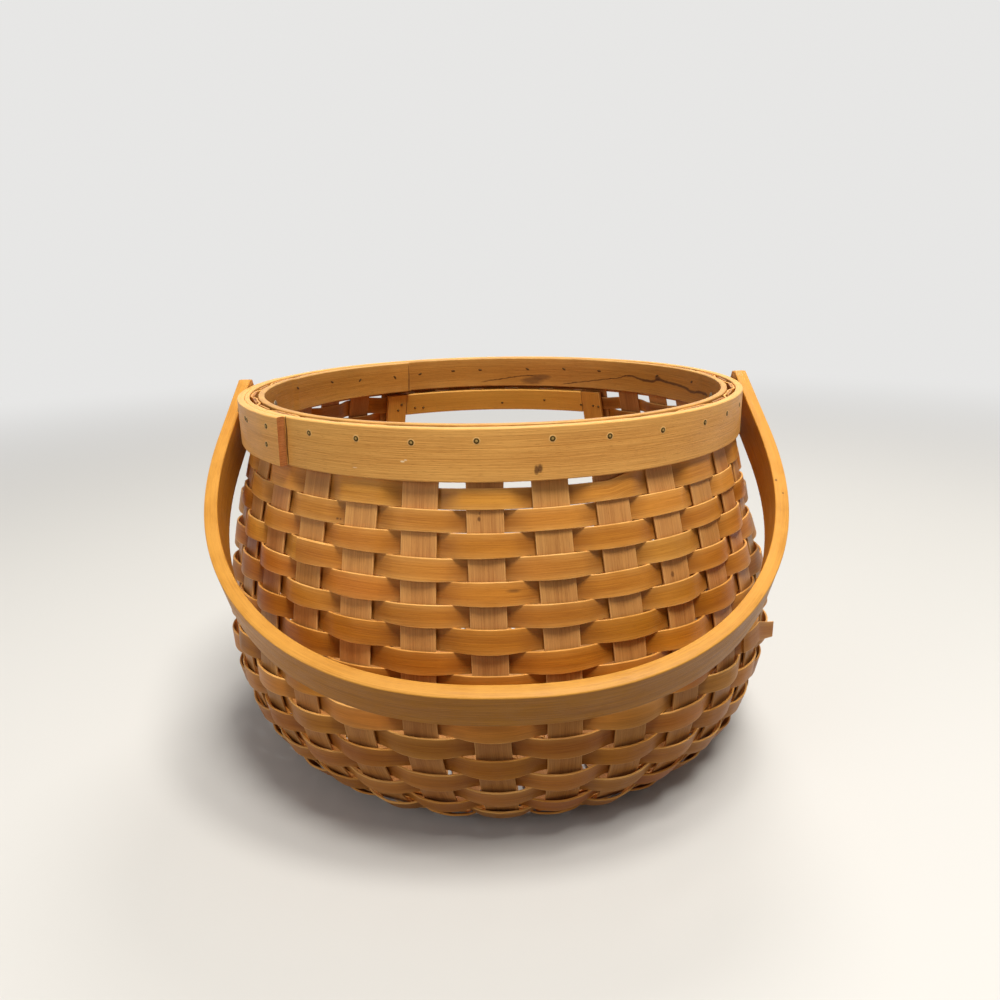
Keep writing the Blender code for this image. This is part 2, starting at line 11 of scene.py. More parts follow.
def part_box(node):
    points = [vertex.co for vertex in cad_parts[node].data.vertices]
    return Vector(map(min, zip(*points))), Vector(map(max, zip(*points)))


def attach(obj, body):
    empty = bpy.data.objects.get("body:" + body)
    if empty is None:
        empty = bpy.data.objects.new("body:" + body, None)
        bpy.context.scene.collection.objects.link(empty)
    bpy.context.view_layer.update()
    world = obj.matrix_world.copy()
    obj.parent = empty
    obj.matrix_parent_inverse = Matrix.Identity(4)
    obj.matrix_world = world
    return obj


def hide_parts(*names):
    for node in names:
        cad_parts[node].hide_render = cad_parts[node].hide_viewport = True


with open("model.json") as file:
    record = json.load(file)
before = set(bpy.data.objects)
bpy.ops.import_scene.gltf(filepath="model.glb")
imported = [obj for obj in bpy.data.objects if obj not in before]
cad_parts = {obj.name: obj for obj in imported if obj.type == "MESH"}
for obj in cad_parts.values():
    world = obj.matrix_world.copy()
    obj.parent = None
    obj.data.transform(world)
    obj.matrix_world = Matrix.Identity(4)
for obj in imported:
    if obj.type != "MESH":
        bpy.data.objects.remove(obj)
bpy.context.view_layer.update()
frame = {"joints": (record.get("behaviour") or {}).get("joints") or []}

# The studio: a pale floor that fades into a pale surround, soft lamps at a plain level, and the
# camera where the photograph was taken from, a little above the rim and 16 degrees nose down.
# FRAME and FOCAL are the photograph's width and focal length in pixels.
EYE = Vector((0.00139, -0.48014, 0.28675))
NOSE_DOWN, ROLL = 0.28550, -0.0184
FRAME, FOCAL = 1000, 781
SURROUND = (0.80, 0.795, 0.785, 1.0)


def in_scene(name, data):
    """New object for a camera, a lamp or a mesh."""
    thing = bpy.data.objects.new(name, data)
    bpy.context.scene.collection.objects.link(thing)
    return thing


level = Vector((1.0, 0.0, 0.0))
tipped_up = Vector((0.0, math.sin(NOSE_DOWN), math.cos(NOSE_DOWN)))
forward = Vector((0.0, math.cos(NOSE_DOWN), -math.sin(NOSE_DOWN)))
right = math.cos(ROLL) * level + math.sin(ROLL) * tipped_up
upward = math.cos(ROLL) * tipped_up - math.sin(ROLL) * level
lens = bpy.data.cameras.new("photograph_camera")
lens.sensor_width = 36.0
lens.lens = lens.sensor_width * FOCAL / FRAME
lens.clip_start = 0.01
camera = in_scene("photograph_camera", lens)
stance = Matrix((right, upward, -forward)).transposed().to_4x4()
stance.translation = EYE
camera.matrix_world = stance
bpy.context.scene.camera = camera
bpy.context.scene.view_settings.view_transform = "Standard"


def soft_lamp(name, place, aim, size, watts, tint):
    light = bpy.data.lights.new(name, "AREA")
    light.shape = "DISK"
    light.size = size
    light.energy = watts
    light.color = tint
    lamp = in_scene(name, light)
    lamp.location = place
    lamp.rotation_euler = (Vector(aim) - Vector(place)).to_track_quat("-Z", "Y").to_euler()


soft_lamp("ceiling_lamp", (0.3, -0.62, 1.85), (0.0, 0.0, 0.12), 0.75, 38.0, (1.0, 0.96, 0.88))
soft_lamp("back_lamp", (0.3, 0.9, 1.6), (0.0, 0.0, 0.15), 0.7, 11.0, (1.0, 0.95, 0.88))
soft_lamp("left_fill", (-1.3, -1.1, 0.9), (0.0, 0.0, 0.1), 0.8, 5.5, (1.0, 0.98, 0.96))


def node(tree, kind, settings=None, **values):
    """Node with its settings and with the values or links of its inputs, by name or as i0, i1."""
    made = tree.nodes.new(kind)
    for key, value in (settings or {}).items():
        setattr(made, key, value)
    for key, value in values.items():
        numbered = key[0] == "i" and key[1:].isdigit()
        socket = made.inputs[int(key[1:]) if numbered else key.replace("_", " ")]
        if isinstance(value, bpy.types.NodeSocket):
            tree.links.new(value, socket)
        else:
            socket.default_value = value
    return made


def maths(tree, operation, *numbers, clamp=False):
    """Result of one step of arithmetic on numbers."""
    given = {f"i{order}": number for order, number in enumerate(numbers)}
    return node(tree, "ShaderNodeMath", {"operation": operation, "use_clamp": clamp},
                **given).outputs[0]


def vectors(tree, operation, *places):
    """Result of one step of arithmetic on places, or the length of one."""
    given = {f"i{order}": place for order, place in enumerate(places)}
    made = node(tree, "ShaderNodeVectorMath", {"operation": operation}, **given)
    return made.outputs["Value" if operation == "LENGTH" else "Vector"]


def graded(tree, value, low, high, first=0.0, last=1.0, ease="LINEAR"):
    """Number that goes from first to last while the value goes from low to high."""
    return node(tree, "ShaderNodeMapRange", {"interpolation_type": ease}, Value=value,
                From_Min=low, From_Max=high, To_Min=first, To_Max=last).outputs[0]


def mixed(tree, share, below, above, blend="MIX"):
    """Colour with a share of another laid over it."""
    return node(tree, "ShaderNodeMix", {"data_type": "RGBA", "blend_type": blend}, i0=share,
                i6=below, i7=above).outputs[2]


def background_sight(tree):
    """1 where the background is looked at, by itself, in gloss or through glass, and 0 where it
    only lights the basket."""
    path = node(tree, "ShaderNodeLightPath").outputs
    direct = maths(tree, "MAXIMUM", path["Is Camera Ray"], path["Is Glossy Ray"])
    return maths(tree, "MAXIMUM", direct, path["Is Transmission Ray"])


def new_finish(name):
    """New material with its node tree and its shader."""
    finish = bpy.data.materials.new(name)
    finish.use_nodes = True
    return finish, finish.node_tree, finish.node_tree.nodes["Principled BSDF"]


world = bpy.data.worlds.new("surround")
bpy.context.scene.world = world
world.use_nodes = True
tree = world.node_tree
tree.nodes.clear()
room = node(tree, "ShaderNodeBackground", Color=(1.0, 0.97, 0.93, 1.0), Strength=0.21)
pale = node(tree, "ShaderNodeBackground", Color=SURROUND, Strength=1.0)
pick = node(tree, "ShaderNodeMixShader", i0=background_sight(tree), i1=room.outputs[0],
            i2=pale.outputs[0])
node(tree, "ShaderNodeOutputWorld", Surface=pick.outputs[0])

disc = bmesh.new()
bmesh.ops.create_circle(disc, cap_ends=True, segments=96, radius=12.0)
floor_mesh = bpy.data.meshes.new("studio_floor")
disc.to_mesh(floor_mesh)
disc.free()
floor = in_scene("studio_floor", floor_mesh)
paint, tree, matt = new_finish("pale_floor")
shade = mixed(tree, background_sight(tree), (0.16, 0.12, 0.085, 1.0), (0.66, 0.66, 0.655, 1.0))
tree.links.new(shade, matt.inputs["Base Color"])
matt.inputs["Roughness"].default_value = 0.75
glow = node(tree, "ShaderNodeEmission", Color=SURROUND)
reach = vectors(tree, "LENGTH", node(tree, "ShaderNodeTexCoord").outputs["Object"])
blend = node(tree, "ShaderNodeMixShader", i0=graded(tree, reach, 0.5, 1.9, ease="SMOOTHSTEP"),
             i1=matt.outputs[0], i2=glow.outputs[0])
tree.links.new(blend.outputs[0], tree.nodes["Material Output"].inputs["Surface"])
floor_mesh.materials.append(paint)

# The weavers: twenty flat splints of honey brown varnished wood, one to a row, that go in front
# of one stake and behind the next. They are held by the stakes alone; eight of them go all round
# and twelve end under the posts of the opening.
MM = 0.001
AXIS = Vector((*frame["joints"][0]["pos_m"][:2], 0.0))
HEIGHT = 220.0 * MM
BAND_HEIGHT = 25.0 * MM
BELLY_DROP = 134.0 * MM
NECK_DROP = 27.6 * MM
NECK_RADIUS = 145.2 * MM
BELLY_RADIUS = 168.2 * MM
FOOT_RADIUS = 113.1 * MM
FOOT_HEIGHT = 2.2 * MM
NECK_CURVE, FOOT_CURVE = 1.42, 2.1
STAKES = 32
STEP = 2 * math.pi / STAKES
ROWS = 20
STAKE_WIDTH = 16.5 * MM
SPLINT_THICKNESS = 1.2 * MM
SPLINT_CORNER = 0.35 * MM
CROSSING = 1.5 * MM
SLIT = 0.15 * MM
# The body leans to the right and is pressed in at the upper right. The front stakes stand a
# little to the left of an even spacing. Places round the wall are counted in stakes from the front.
LEAN = 1.8 * MM
PRESSED_IN = 3.4 * MM
PRESS_PLACE, PRESS_REACH = 7.6, 2.4
PRESS_HEIGHT, PRESS_TALL = 146.0 * MM, 26.0 * MM
HAND_DRIFT = 0.22
DRIFT_MIDDLE, DRIFT_REACH = -2.6, 6.0
DRIFT_FOOT, DRIFT_RISE = 6.0 * MM, 76.0 * MM
# Row 1 is pushed up against the band but for two places, given by middle and half width, where
# light shows over it: the middle of the front and the back right.
PUSHED_UP, PUSH_EASE = 2.9 * MM, 0.35
SLACK_PLACES = ((0.5, 1.45), (10.9, 2.1))
BAND_SLIT = 1.2 * MM
LEFT_POST, RIGHT_POST = 19.0, 45.0
UNDER_POST = 10.4 * MM
FINE, PER_STAKE = 10, 12


def out(angle):
    return Vector((math.sin(angle), -math.cos(angle), 0.0))


def beside(angle):
    return Vector((math.cos(angle), math.sin(angle), 0.0))


def up(height):
    return Vector((0.0, 0.0, height))


def held(share):
    return min(max(share, 0.0), 1.0)


def smooth(share):
    return share * share * (3 - 2 * share)


def wavering(*spot):
    """The small unevenness of handwork, between -1 and 1, the same in each run."""
    return noise.noise(Vector(spot))


def settle(point):
    """From the basket's own axis to the place where the loosely woven body stands."""
    share = held((HEIGHT - BAND_HEIGHT - point.z) / (BELLY_DROP - BAND_HEIGHT))
    place = math.atan2(point.x, -point.y) / STEP
    pressed = PRESSED_IN * math.exp(-((place - PRESS_PLACE) / PRESS_REACH) ** 2) \
        * math.exp(-((point.z - PRESS_HEIGHT) / PRESS_TALL) ** 2)
    inward = Vector((point.x, point.y, 0.0)).normalized() * pressed
    return point - inward + AXIS + Vector((LEAN * smooth(share), 0.0, 0.0))


def drifted(place, height):
    """A place counted in stakes, moved as the hand spaced the stakes up the front of the wall."""
    away = (place - DRIFT_MIDDLE + STAKES / 2) % STAKES - STAKES / 2
    lobe = math.cos(math.pi / 2 * min(abs(away) / DRIFT_REACH, 1.0)) ** 2
    return place - HAND_DRIFT * lobe * smooth(held((height - DRIFT_FOOT) / DRIFT_RISE))


def wall_points():
    """The wall's middle from neck to foot as (radius, height), at equal steps, FINE to a row."""
    rough = []
    samples = 480
    for i in range(samples):
        drop = NECK_DROP + (BELLY_DROP - NECK_DROP) * i / samples
        share = (BELLY_DROP - drop) / (BELLY_DROP - NECK_DROP)
        rough.append(Vector((BELLY_RADIUS - (BELLY_RADIUS - NECK_RADIUS) * share ** NECK_CURVE,
                             HEIGHT - drop)))
    for i in range(samples + 1):
        turn = math.pi / 2 * i / samples
        wide = math.cos(turn) ** (2 / FOOT_CURVE)
        deep = math.sin(turn) ** (2 / FOOT_CURVE)
        rough.append(Vector((
            FOOT_RADIUS + (BELLY_RADIUS - FOOT_RADIUS) * wide,
            HEIGHT - BELLY_DROP - (HEIGHT - FOOT_HEIGHT - BELLY_DROP) * deep)))
    lengths = [0.0]
    for a, b in zip(rough, rough[1:]):
        lengths.append(lengths[-1] + (b - a).length)
    points = []
    place = 0
    for i in range(ROWS * FINE + 1):
        wanted = lengths[-1] * i / (ROWS * FINE)
        while place < len(rough) - 2 and lengths[place + 1] < wanted:
            place += 1
        part = (wanted - lengths[place]) / (lengths[place + 1] - lengths[place])
        points.append(rough[place].lerp(rough[place + 1], part))
    return points, lengths[-1] / ROWS


WALL, ROW_PITCH = wall_points()


def wall_at(rows_down):
    """Point of the wall's middle that many rows below the neck."""
    at = min(max(rows_down * FINE, 0.0), ROWS * FINE - 1e-6)
    return WALL[int(at)].lerp(WALL[int(at) + 1], at - int(at))


def wall_out(rows_down):
    """Direction (radial, upward) that points out of the wall there."""
    run = (wall_at(rows_down + 0.5) - wall_at(rows_down - 0.5)).normalized()
    return Vector((-run.y, run.x))


def turned(point, angle):
    """A (radius, height) point or direction, turned to its angle round the basket."""
    return out(angle) * point.x + up(point.y)


def edge_of_row(row, angle):
    """Rows below the neck at which the slit under a row runs; it wanders a little by hand."""
    calm = 0.25 if row in (0, ROWS) else 1.0
    return row + 0.10 * calm * wavering(2.3 * math.sin(angle), 2.3 * math.cos(angle), 3.7 * row)


def stand_off(row, place, low_arch, high_arch):
    """How far a row lies out from the wall's middle, and how near it is to a crest."""
    stake = math.floor(place)
    part = place - stake
    side = 1.0 if (row + stake) % 2 else -1.0
    spot = wall_at(row - 0.5)
    stretch = drifted(place + 0.5, spot.y) - drifted(place - 0.5, spot.y)
    hold = (STAKE_WIDTH / 2 + 0.5 * MM) / (spot.x * STEP * stretch)
    flat = side * (1 - 2 * smooth(held((part - hold) / (1 - 2 * hold))))
    swing = side * math.cos(math.pi * part)
    near = (stake if part < 0.5 else stake + 1) % STAKES
    loose = 0.84 + 0.42 * wavering(0.37 * near, 1.9 * row, 5.5)
    arch = high_arch * loose if swing > 0 else -low_arch
    return CROSSING * flat + arch * swing * swing, max(swing, 0.0)


def rounded(width, thick, corner):
    """Outline of a flat piece of wood as (across, outward, edge share), with rounded long edges;
    the edge share makes the edges paler, as rubbed wood and as a painted highlight.
    """
    w, t = width / 2, thick / 2
    ease = corner * 0.6
    points = []
    for sx, sy in ((1, 1), (-1, 1), (-1, -1), (1, -1)):
        bend = [(w - corner - ease, t, 0.25), (w - corner, t, 0.8),
                (w - 0.29 * corner, t - 0.29 * corner, 1.0), (w, t - corner, 0.8)]
        bend = [(sx * x, sy * y, wear) for x, y, wear in bend]
        points += bend[::-1] if sx * sy > 0 else bend
    outline = []
    for a, b in zip(points, points[1:] + points[:1]):
        outline.append(a)
        if abs(a[0] - b[0]) > width / 3:
            outline += [(a[0] + (b[0] - a[0]) * part, a[1], 0.0) for part in (1 / 3, 2 / 3)]
    return outline


def run_strip(name, stations, corner, grain, split, closed=False):
    """Strip of wood through stations (middle, across, outward, width, thickness, tucked), where
    tucked is the share of painted shade in the crossings. Its grain map starts at (grain, split),
    so that no two strips show the same figure."""
    count = len(stations) - 1
    around = len(rounded(1.0, 1.0, 0.1))
    mesh = bmesh.new()
    uv = mesh.loops.layers.uv.new("grain")
    bmesh.ops.create_grid(mesh, x_segments=count, y_segments=around, size=0.5)
    rub_highlight_mask = mesh.verts.layers.float.new("rub_highlight_mask")
    tucked = mesh.verts.layers.float.new("tucked")
    length = [0.0]
    for a, b in zip(stations, stations[1:]):
        length.append(length[-1] + (b[0] - a[0]).length)
    outlines = {}
    place = {}
    for vertex in mesh.verts:
        i = round((vertex.co.x + 0.5) * count)
        j = round((vertex.co.y + 0.5) * around)
        middle, across, outward, width, thick, depth = stations[i]
        size = (round(width, 6), round(thick, 6))
        if size not in outlines:
            outline = rounded(width, thick, min(corner, thick * 0.42))
            girth = [0.0]
            for a, b in zip(outline, outline[1:] + outline[:1]):
                girth.append(girth[-1] + math.hypot(b[0] - a[0], b[1] - a[1]))
            outlines[size] = (outline, girth)
        outline, girth = outlines[size]
        x, y, wear = outline[j % around]
        place[vertex.index] = (length[i] + grain, girth[j] + split)
        vertex.co = middle + across * x + outward * y
        # The edge share: paler rubbed edges that also carry a painted highlight.
        vertex[rub_highlight_mask] = wear
        vertex[tucked] = depth
    for face in mesh.faces:
        for loop in face.loops:
            loop[uv].uv = place[loop.vert.index]
    bmesh.ops.remove_doubles(mesh, verts=mesh.verts, dist=0.002 * MM)
    if not closed:
        rims = [edge for edge in mesh.edges if edge.is_boundary]
        for face in bmesh.ops.holes_fill(mesh, edges=rims)["faces"]:
            face.material_index = 1
            for loop in face.loops:
                loop[uv].uv = (loop.vert.co.x + loop.vert.co.y, loop.vert.co.z + split)
    return finished(name, mesh)


def finished(name, mesh, sharp=55):
    """The piece as an object, smooth but for edges that turn by more than sharp degrees."""
    bmesh.ops.recalc_face_normals(mesh, faces=mesh.faces)
    data = bpy.data.meshes.new(name)
    mesh.to_mesh(data)
    mesh.free()
    data.shade_smooth()
    data.set_sharp_from_angle(angle=math.radians(sharp))
    return in_scene(name, data)


def fasten(piece, finishes, stands_for=None, body="basket"):
    """Gives a piece its finishes and fixes it to the basket or the handle, where it may stand
    for a solid of the CAD model."""
    for finish in finishes:
        piece.data.materials.append(finish)
    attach(piece, body)
    if stands_for:
        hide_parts(stands_for)


def new_group(name, given, results):
    """Empty node group. An input's kind follows from its first value, and a place has none."""
    kinds = {float: "NodeSocketFloat", tuple: "NodeSocketColor", type(None): "NodeSocketVector"}
    group = bpy.data.node_groups.new(name, "ShaderNodeTree")
    for label, value in given.items():
        socket = group.interface.new_socket(name=label, in_out="INPUT",
                                            socket_type=kinds[type(value)])
        if value is not None:
            socket.default_value = value
    for label in results:
        kind = "NodeSocketColor" if label == "Color" else "NodeSocketFloat"
        group.interface.new_socket(name=label, in_out="OUTPUT", socket_type=kind)
    return (group, group.nodes.new("NodeGroupInput").outputs,
            group.nodes.new("NodeGroupOutput").inputs)


def effect(tree, group, **values):
    """Results of a node group that is used in a material."""
    return node(tree, "ShaderNodeGroup", {"node_tree": group}, **values).outputs


def stretched(tree, place, along, across):
    """The grain map with so many steps to a metre along the grain and across it."""
    return node(tree, "ShaderNodeMapping", Vector=place, Scale=(along, across, 1.0)).outputs[0]


def grain_noise(tree, place, along, across, detail, roughness=0.5):
    return node(tree, "ShaderNodeTexNoise", Vector=stretched(tree, place, along, across),
                Scale=1.0, Detail=detail, Roughness=roughness).outputs


def build_figure():
    """Split wood: long streaks, open pores and slow drifts of tone that follow the grain."""
    group, given, result = new_group("split_wood_figure", {
        "Place": None, "Light Wood": (0.6, 0.3, 0.1, 1.0), "Dark Wood": (0.4, 0.2, 0.06, 1.0),
        "Streaks": 0.5, "Pores": 0.5, "Drift": 0.5, "Batches": 1.0}, ["Color", "Height"])
    place = given["Place"]
    warp = grain_noise(group, place, 14.0, 60.0, 2.0)["Color"]
    bent = vectors(group, "MULTIPLY_ADD", warp, (0.0, 0.0016, 0.0), place)
    wide = grain_noise(group, bent, 5.0, 330.0, 3.0, 0.55)["Fac"]
    fine = grain_noise(group, bent, 34.0, 1500.0, 4.0, 0.55)["Fac"]
    lines = node(group, "ShaderNodeMix", {"data_type": "FLOAT"}, i0=0.64, i2=wide, i3=fine)
    spread = graded(group, lines.outputs[0], 0.38, 0.62)
    streaks = maths(group, "MULTIPLY", spread, given["Streaks"])
    slow = graded(group, grain_noise(group, place, 16.0, 38.0, 2.0)["Fac"], 0.3, 0.7)
    drift = maths(group, "MULTIPLY", slow, given["Drift"])
    share = maths(group, "ADD", streaks, drift, clamp=True)
    tone = mixed(group, share, given["Light Wood"], given["Dark Wood"])
    dash = graded(group, grain_noise(group, place, 230.0, 3000.0, 1.0)["Fac"], 0.60, 0.70)
    pores = maths(group, "MULTIPLY", dash, given["Pores"])
    dark = mixed(group, pores, tone, (0.45, 0.32, 0.24, 1.0), "MULTIPLY")
    ridges = maths(group, "MULTIPLY_ADD", spread, -0.6, 0.8)
    batch = grain_noise(group, place, 6.0, 4.3, 1.0)["Color"]
    batch = node(group, "ShaderNodeSeparateColor", Color=batch).outputs
    cast = node(group, "ShaderNodeHueSaturation", Fac=given["Batches"], Color=dark,
                Hue=graded(group, batch[0], 0.3, 0.7, 0.493, 0.506),
                Value=graded(group, batch[1], 0.3, 0.7, 0.80, 1.12))
    group.links.new(cast.outputs[0], result["Color"])
    group.links.new(maths(group, "MULTIPLY_ADD", pores, -0.5, ridges), result["Height"])
    return group


def build_wear_and_painted_light():
    """Paler edges, rubbed and with a painted highlight, small knots, and painted shade in the
    crossings where a weaver goes behind a stake.
    """
    group, given, result = new_group("wear_and_painted_light", {
        "Color": (0.5, 0.3, 0.1, 1.0), "Place": None, "Edge Wood": (0.8, 0.5, 0.2, 1.0),
        "Edge Wear": 0.6, "Varnish Brown": (0.25, 0.1, 0.03, 1.0), "Gathered": 0.5,
        "Knots": 0.6}, ["Color", "Roughness"])
    rub_highlight_mask = node(group, "ShaderNodeAttribute", {"attribute_name": "rub_highlight_mask"}).outputs["Fac"]
    tucked = node(group, "ShaderNodeAttribute", {"attribute_name": "tucked"}).outputs["Fac"]
    rub = grain_noise(group, given["Place"], 70.0, 90.0, 3.0)["Fac"]
    # Painted highlight: the rounded edges are made paler, partly as rubbed wood and partly as the
    # lit faces of the splints' edges.
    edge = maths(group, "MULTIPLY", rub_highlight_mask, graded(group, rub, 0.32, 0.62, 0.45, 1.0))
    rubbed_and_highlit = maths(group, "MULTIPLY", edge, given["Edge Wear"])
    # Painted shade: the weaver is darkened where it goes behind a stake.
    crossing_shading = maths(group, "MULTIPLY", tucked, given["Gathered"])
    brown = mixed(group, crossing_shading, given["Color"], given["Varnish Brown"])
    cells = node(group, "ShaderNodeTexVoronoi", Scale=1.0,
                 Vector=stretched(group, given["Place"], 16.0, 62.0)).outputs
    chance = node(group, "ShaderNodeSeparateColor", Color=cells["Color"]).outputs[0]
    knot = maths(group, "MULTIPLY", maths(group, "GREATER_THAN", chance, 0.9),
                 graded(group, cells["Distance"], 0.03, 0.075, 1.0, 0.0))
    spotted = mixed(group, maths(group, "MULTIPLY", knot, given["Knots"]), brown,
                    (0.09, 0.035, 0.012, 1.0))
    group.links.new(mixed(group, rubbed_and_highlit, spotted, given["Edge Wood"]), result["Color"])
    group.links.new(graded(group, rub, 0.3, 0.7, 0.36, 0.52), result["Roughness"])
    return group


figure = build_figure()
wear_and_light_group = build_wear_and_painted_light()


def wood(name, light, dark, edge, brown, streaks=0.6, pores=0.5, drift=0.4, wear=0.6,
         knotty=0.6, coat=0.05, grain_depth=0.25, batches=0.9):
    """Varnished wood whose figure runs along the piece's own grain map, with paler rubbed edges
    that carry a painted highlight and with painted shade in the crossings.
    """
    # edge is the colour of the paler rubbed edges with their painted highlight.
    finish, tree, shader = new_finish(name)
    grain = node(tree, "ShaderNodeUVMap", {"uv_map": "grain"}).outputs[0]
    figured = effect(tree, figure, Place=grain, Light_Wood=(*light, 1.0), Dark_Wood=(*dark, 1.0),
                     Streaks=streaks, Pores=pores, Drift=drift, Batches=batches)
    # brown is the colour of the painted shade in the crossings.
    aged_with_painted_light = effect(tree, wear_and_light_group, Color=figured["Color"], Place=grain, Edge_Wood=(*edge, 1.0),
                  Edge_Wear=wear, Varnish_Brown=(*brown, 1.0), Gathered=0.5, Knots=knotty)
    relief = node(tree, "ShaderNodeBump", Strength=grain_depth, Distance=0.0004,
                  Height=figured["Height"])
    tree.links.new(aged_with_painted_light["Color"], shader.inputs["Base Color"])
    tree.links.new(aged_with_painted_light["Roughness"], shader.inputs["Roughness"])
    tree.links.new(relief.outputs["Normal"], shader.inputs["Normal"])
    shader.inputs["Specular IOR Level"].default_value = 0.16
    shader.inputs["Coat Weight"].default_value = coat
    shader.inputs["Coat Roughness"].default_value = 0.3
    return finish


def build_spot_mark():
    """One small knot, stain, scratch or painted shadow line: a ragged oval at a spot of the grain
    map.
    """
    group, given, result = new_group("single_spot_mark", {
        "Color": (0.5, 0.3, 0.1, 1.0), "Place": None, "Spot": None, "Reach": None,
        "Depth": 0.8, "Stain": (0.11, 0.04, 0.012, 1.0)}, ["Color"])
    away = vectors(group, "SUBTRACT", given["Place"], given["Spot"])
    scaled = vectors(group, "DIVIDE", away, given["Reach"])
    rough = node(group, "ShaderNodeTexNoise", Vector=scaled, Scale=1.3, Detail=3.0)
    ragged = vectors(group, "MULTIPLY_ADD", rough.outputs["Color"], (1.0, 1.0, 0.0), scaled)
    centred = vectors(group, "MULTIPLY_ADD", ragged, (1.0, 1.0, 0.0), (-0.5, -0.5, 0.0))
    heart = graded(group, vectors(group, "LENGTH", centred), 0.55, 1.1, 1.0, 0.0)
    depth = maths(group, "MULTIPLY", heart, given["Depth"])
    group.links.new(mixed(group, depth, given["Color"], given["Stain"]), result["Color"])
    return group


spot_mark_group = build_spot_mark()


def mark(finish, group, **values):
    """Lays one more mark over the colour of a wood."""
    tree = finish.node_tree
    colour = tree.nodes["Principled BSDF"].inputs["Base Color"]
    laid = effect(tree, group, Color=colour.links[0].from_socket,
                  Place=tree.nodes["UV Map"].outputs[0], **values)
    tree.links.new(laid["Color"], colour)


def grain_under(piece, spots):
    """Places on a strip's grain map that the camera sees at these spots of its frame, or the
    nearest ones where it looks past the strip."""
    data = piece.data
    skin = BVHTree.FromPolygons([vertex.co for vertex in data.vertices],
                                [face.vertices[:] for face in data.polygons])
    chart = data.uv_layers["grain"].data
    places = []
    for across, down in spots:
        ray = forward + right * ((across - FRAME / 2) / FOCAL) \
            + upward * ((FRAME / 2 - down) / FOCAL)
        hit, _, index, _ = skin.ray_cast(EYE, ray)
        if hit is None:
            near = [skin.find_nearest(EYE + ray * (0.3 + 0.004 * i)) for i in range(110)]
            hit, _, index, _ = min(near, key=lambda found: found[3])
        face = data.polygons[index]
        shares = poly_3d_calc([data.vertices[v].co for v in face.vertices], hit)
        place = Vector((0.0, 0.0, 0.0))
        for loop, share in zip(face.loop_indices, shares):
            place += Vector((*chart[loop].uv, 0.0)) * share
        places.append(place)
    return places


def spot_marks(piece, finish, spots, stain=(0.11, 0.04, 0.012)):
    """Single marks, knots as well as stains, scratches and painted shadow lines, each given as
    (across, down) in the photograph's pixels, half length and half width in millimetres, and depth
    of colour."""
    places = grain_under(piece, [spot[:2] for spot in spots])
    for place, (_, _, long, wide, depth) in zip(places, spots):
        mark(finish, spot_mark_group, Spot=place, Reach=(long * MM, wide * MM, 1.0),
             Depth=depth, Stain=(*stain, 1.0))


weaver_wood = wood("honey_splint", (0.61, 0.238, 0.030), (0.37, 0.122, 0.013),
                   (0.95, 0.53, 0.16), (0.17, 0.05, 0.009), streaks=0.5, pores=0.22, drift=0.45,
                   wear=0.9)
# The amber splint is a darker, more orange copy of the honey splint: partly a change of tone from
# row to row, and partly painted shade, most of all on rows 7 to 10 by the handle.
amber_shaded_wood = wood("amber_shaded_splint", (0.53, 0.19, 0.017), (0.32, 0.10, 0.009),
                  (0.88, 0.45, 0.11), (0.14, 0.04, 0.007), streaks=0.5, pores=0.25, drift=0.45,
                  wear=0.8)
pale_wood = wood("pale_splint", (0.69, 0.287, 0.045), (0.44, 0.157, 0.021),
                 (0.96, 0.56, 0.18), (0.17, 0.055, 0.01), pores=0.22, wear=0.9)
AMBER_SHADED_ROWS, PALE_ROWS = (7, 8, 9, 10, 13, 16, 18), (1, 2, 4, 11, 15)
ROW_2_KNOTS = [(337.5, 518.5, 0.8, 0.6, 0.8), (340.5, 519.0, 0.6, 0.5, 0.7)]
cut_end = wood("cut_end_wood", (0.58, 0.25, 0.06), (0.33, 0.12, 0.025), (0.75, 0.38, 0.11),
               (0.2, 0.07, 0.015), streaks=0.9, pores=0.9, wear=0.3, coat=0.0, grain_depth=0.5)


def goes_round(row):
    """Rows 2 to 13 end at the opening, and the others go all round."""
    return row < 2 or row > 13


def row_lie(row, place, raised=0.0):
    """Middle, slope, outward side, width and lift of a row at a place counted in stakes."""
    angle = drifted(place, wall_at(row - 0.5).y) * STEP
    normal = wall_out(row - 0.5)
    top, bottom = edge_of_row(row - 1, angle), edge_of_row(row, angle)
    rise = 0.0
    if row == 1:
        top += BAND_SLIT / ROW_PITCH
        rise = PUSHED_UP
        for slack, reach in SLACK_PLACES:
            away = abs((place - slack + STAKES / 2) % STAKES - STAKES / 2)
            rise *= held((away - reach) / PUSH_EASE)
    free = held((row - 2) / 2.0) * held((ROWS - row) / 2.5)
    if 13 < row < 16:
        away = abs((place - 16) % STAKES)
        free *= held(min(away, STAKES - away) - 3.6)
    elif not goes_round(row):
        free *= held((min(place - LEFT_POST, RIGHT_POST - place) - 0.45) / 0.8)
    off, crest = stand_off(row, place, (0.25 + 0.45 * free) * MM, (0.15 + 1.75 * free) * MM)
    swell = 1.0 + 0.03 * free + (0.02 + 0.11 * row / ROWS) * free * crest ** 1.5
    ends = []
    for edge in (top, bottom):
        point = settle(turned(wall_at(edge) + normal * (off + raised), angle))
        point.z = max(point.z, SPLINT_THICKNESS / 2 + 0.2 * MM)
        ends.append(point)
    ends[0].z += rise
    slope = ends[0] - ends[1]
    return ((ends[0] + ends[1]) / 2, slope.normalized(), turned(normal, angle),
            slope.length * swell - SLIT, off)


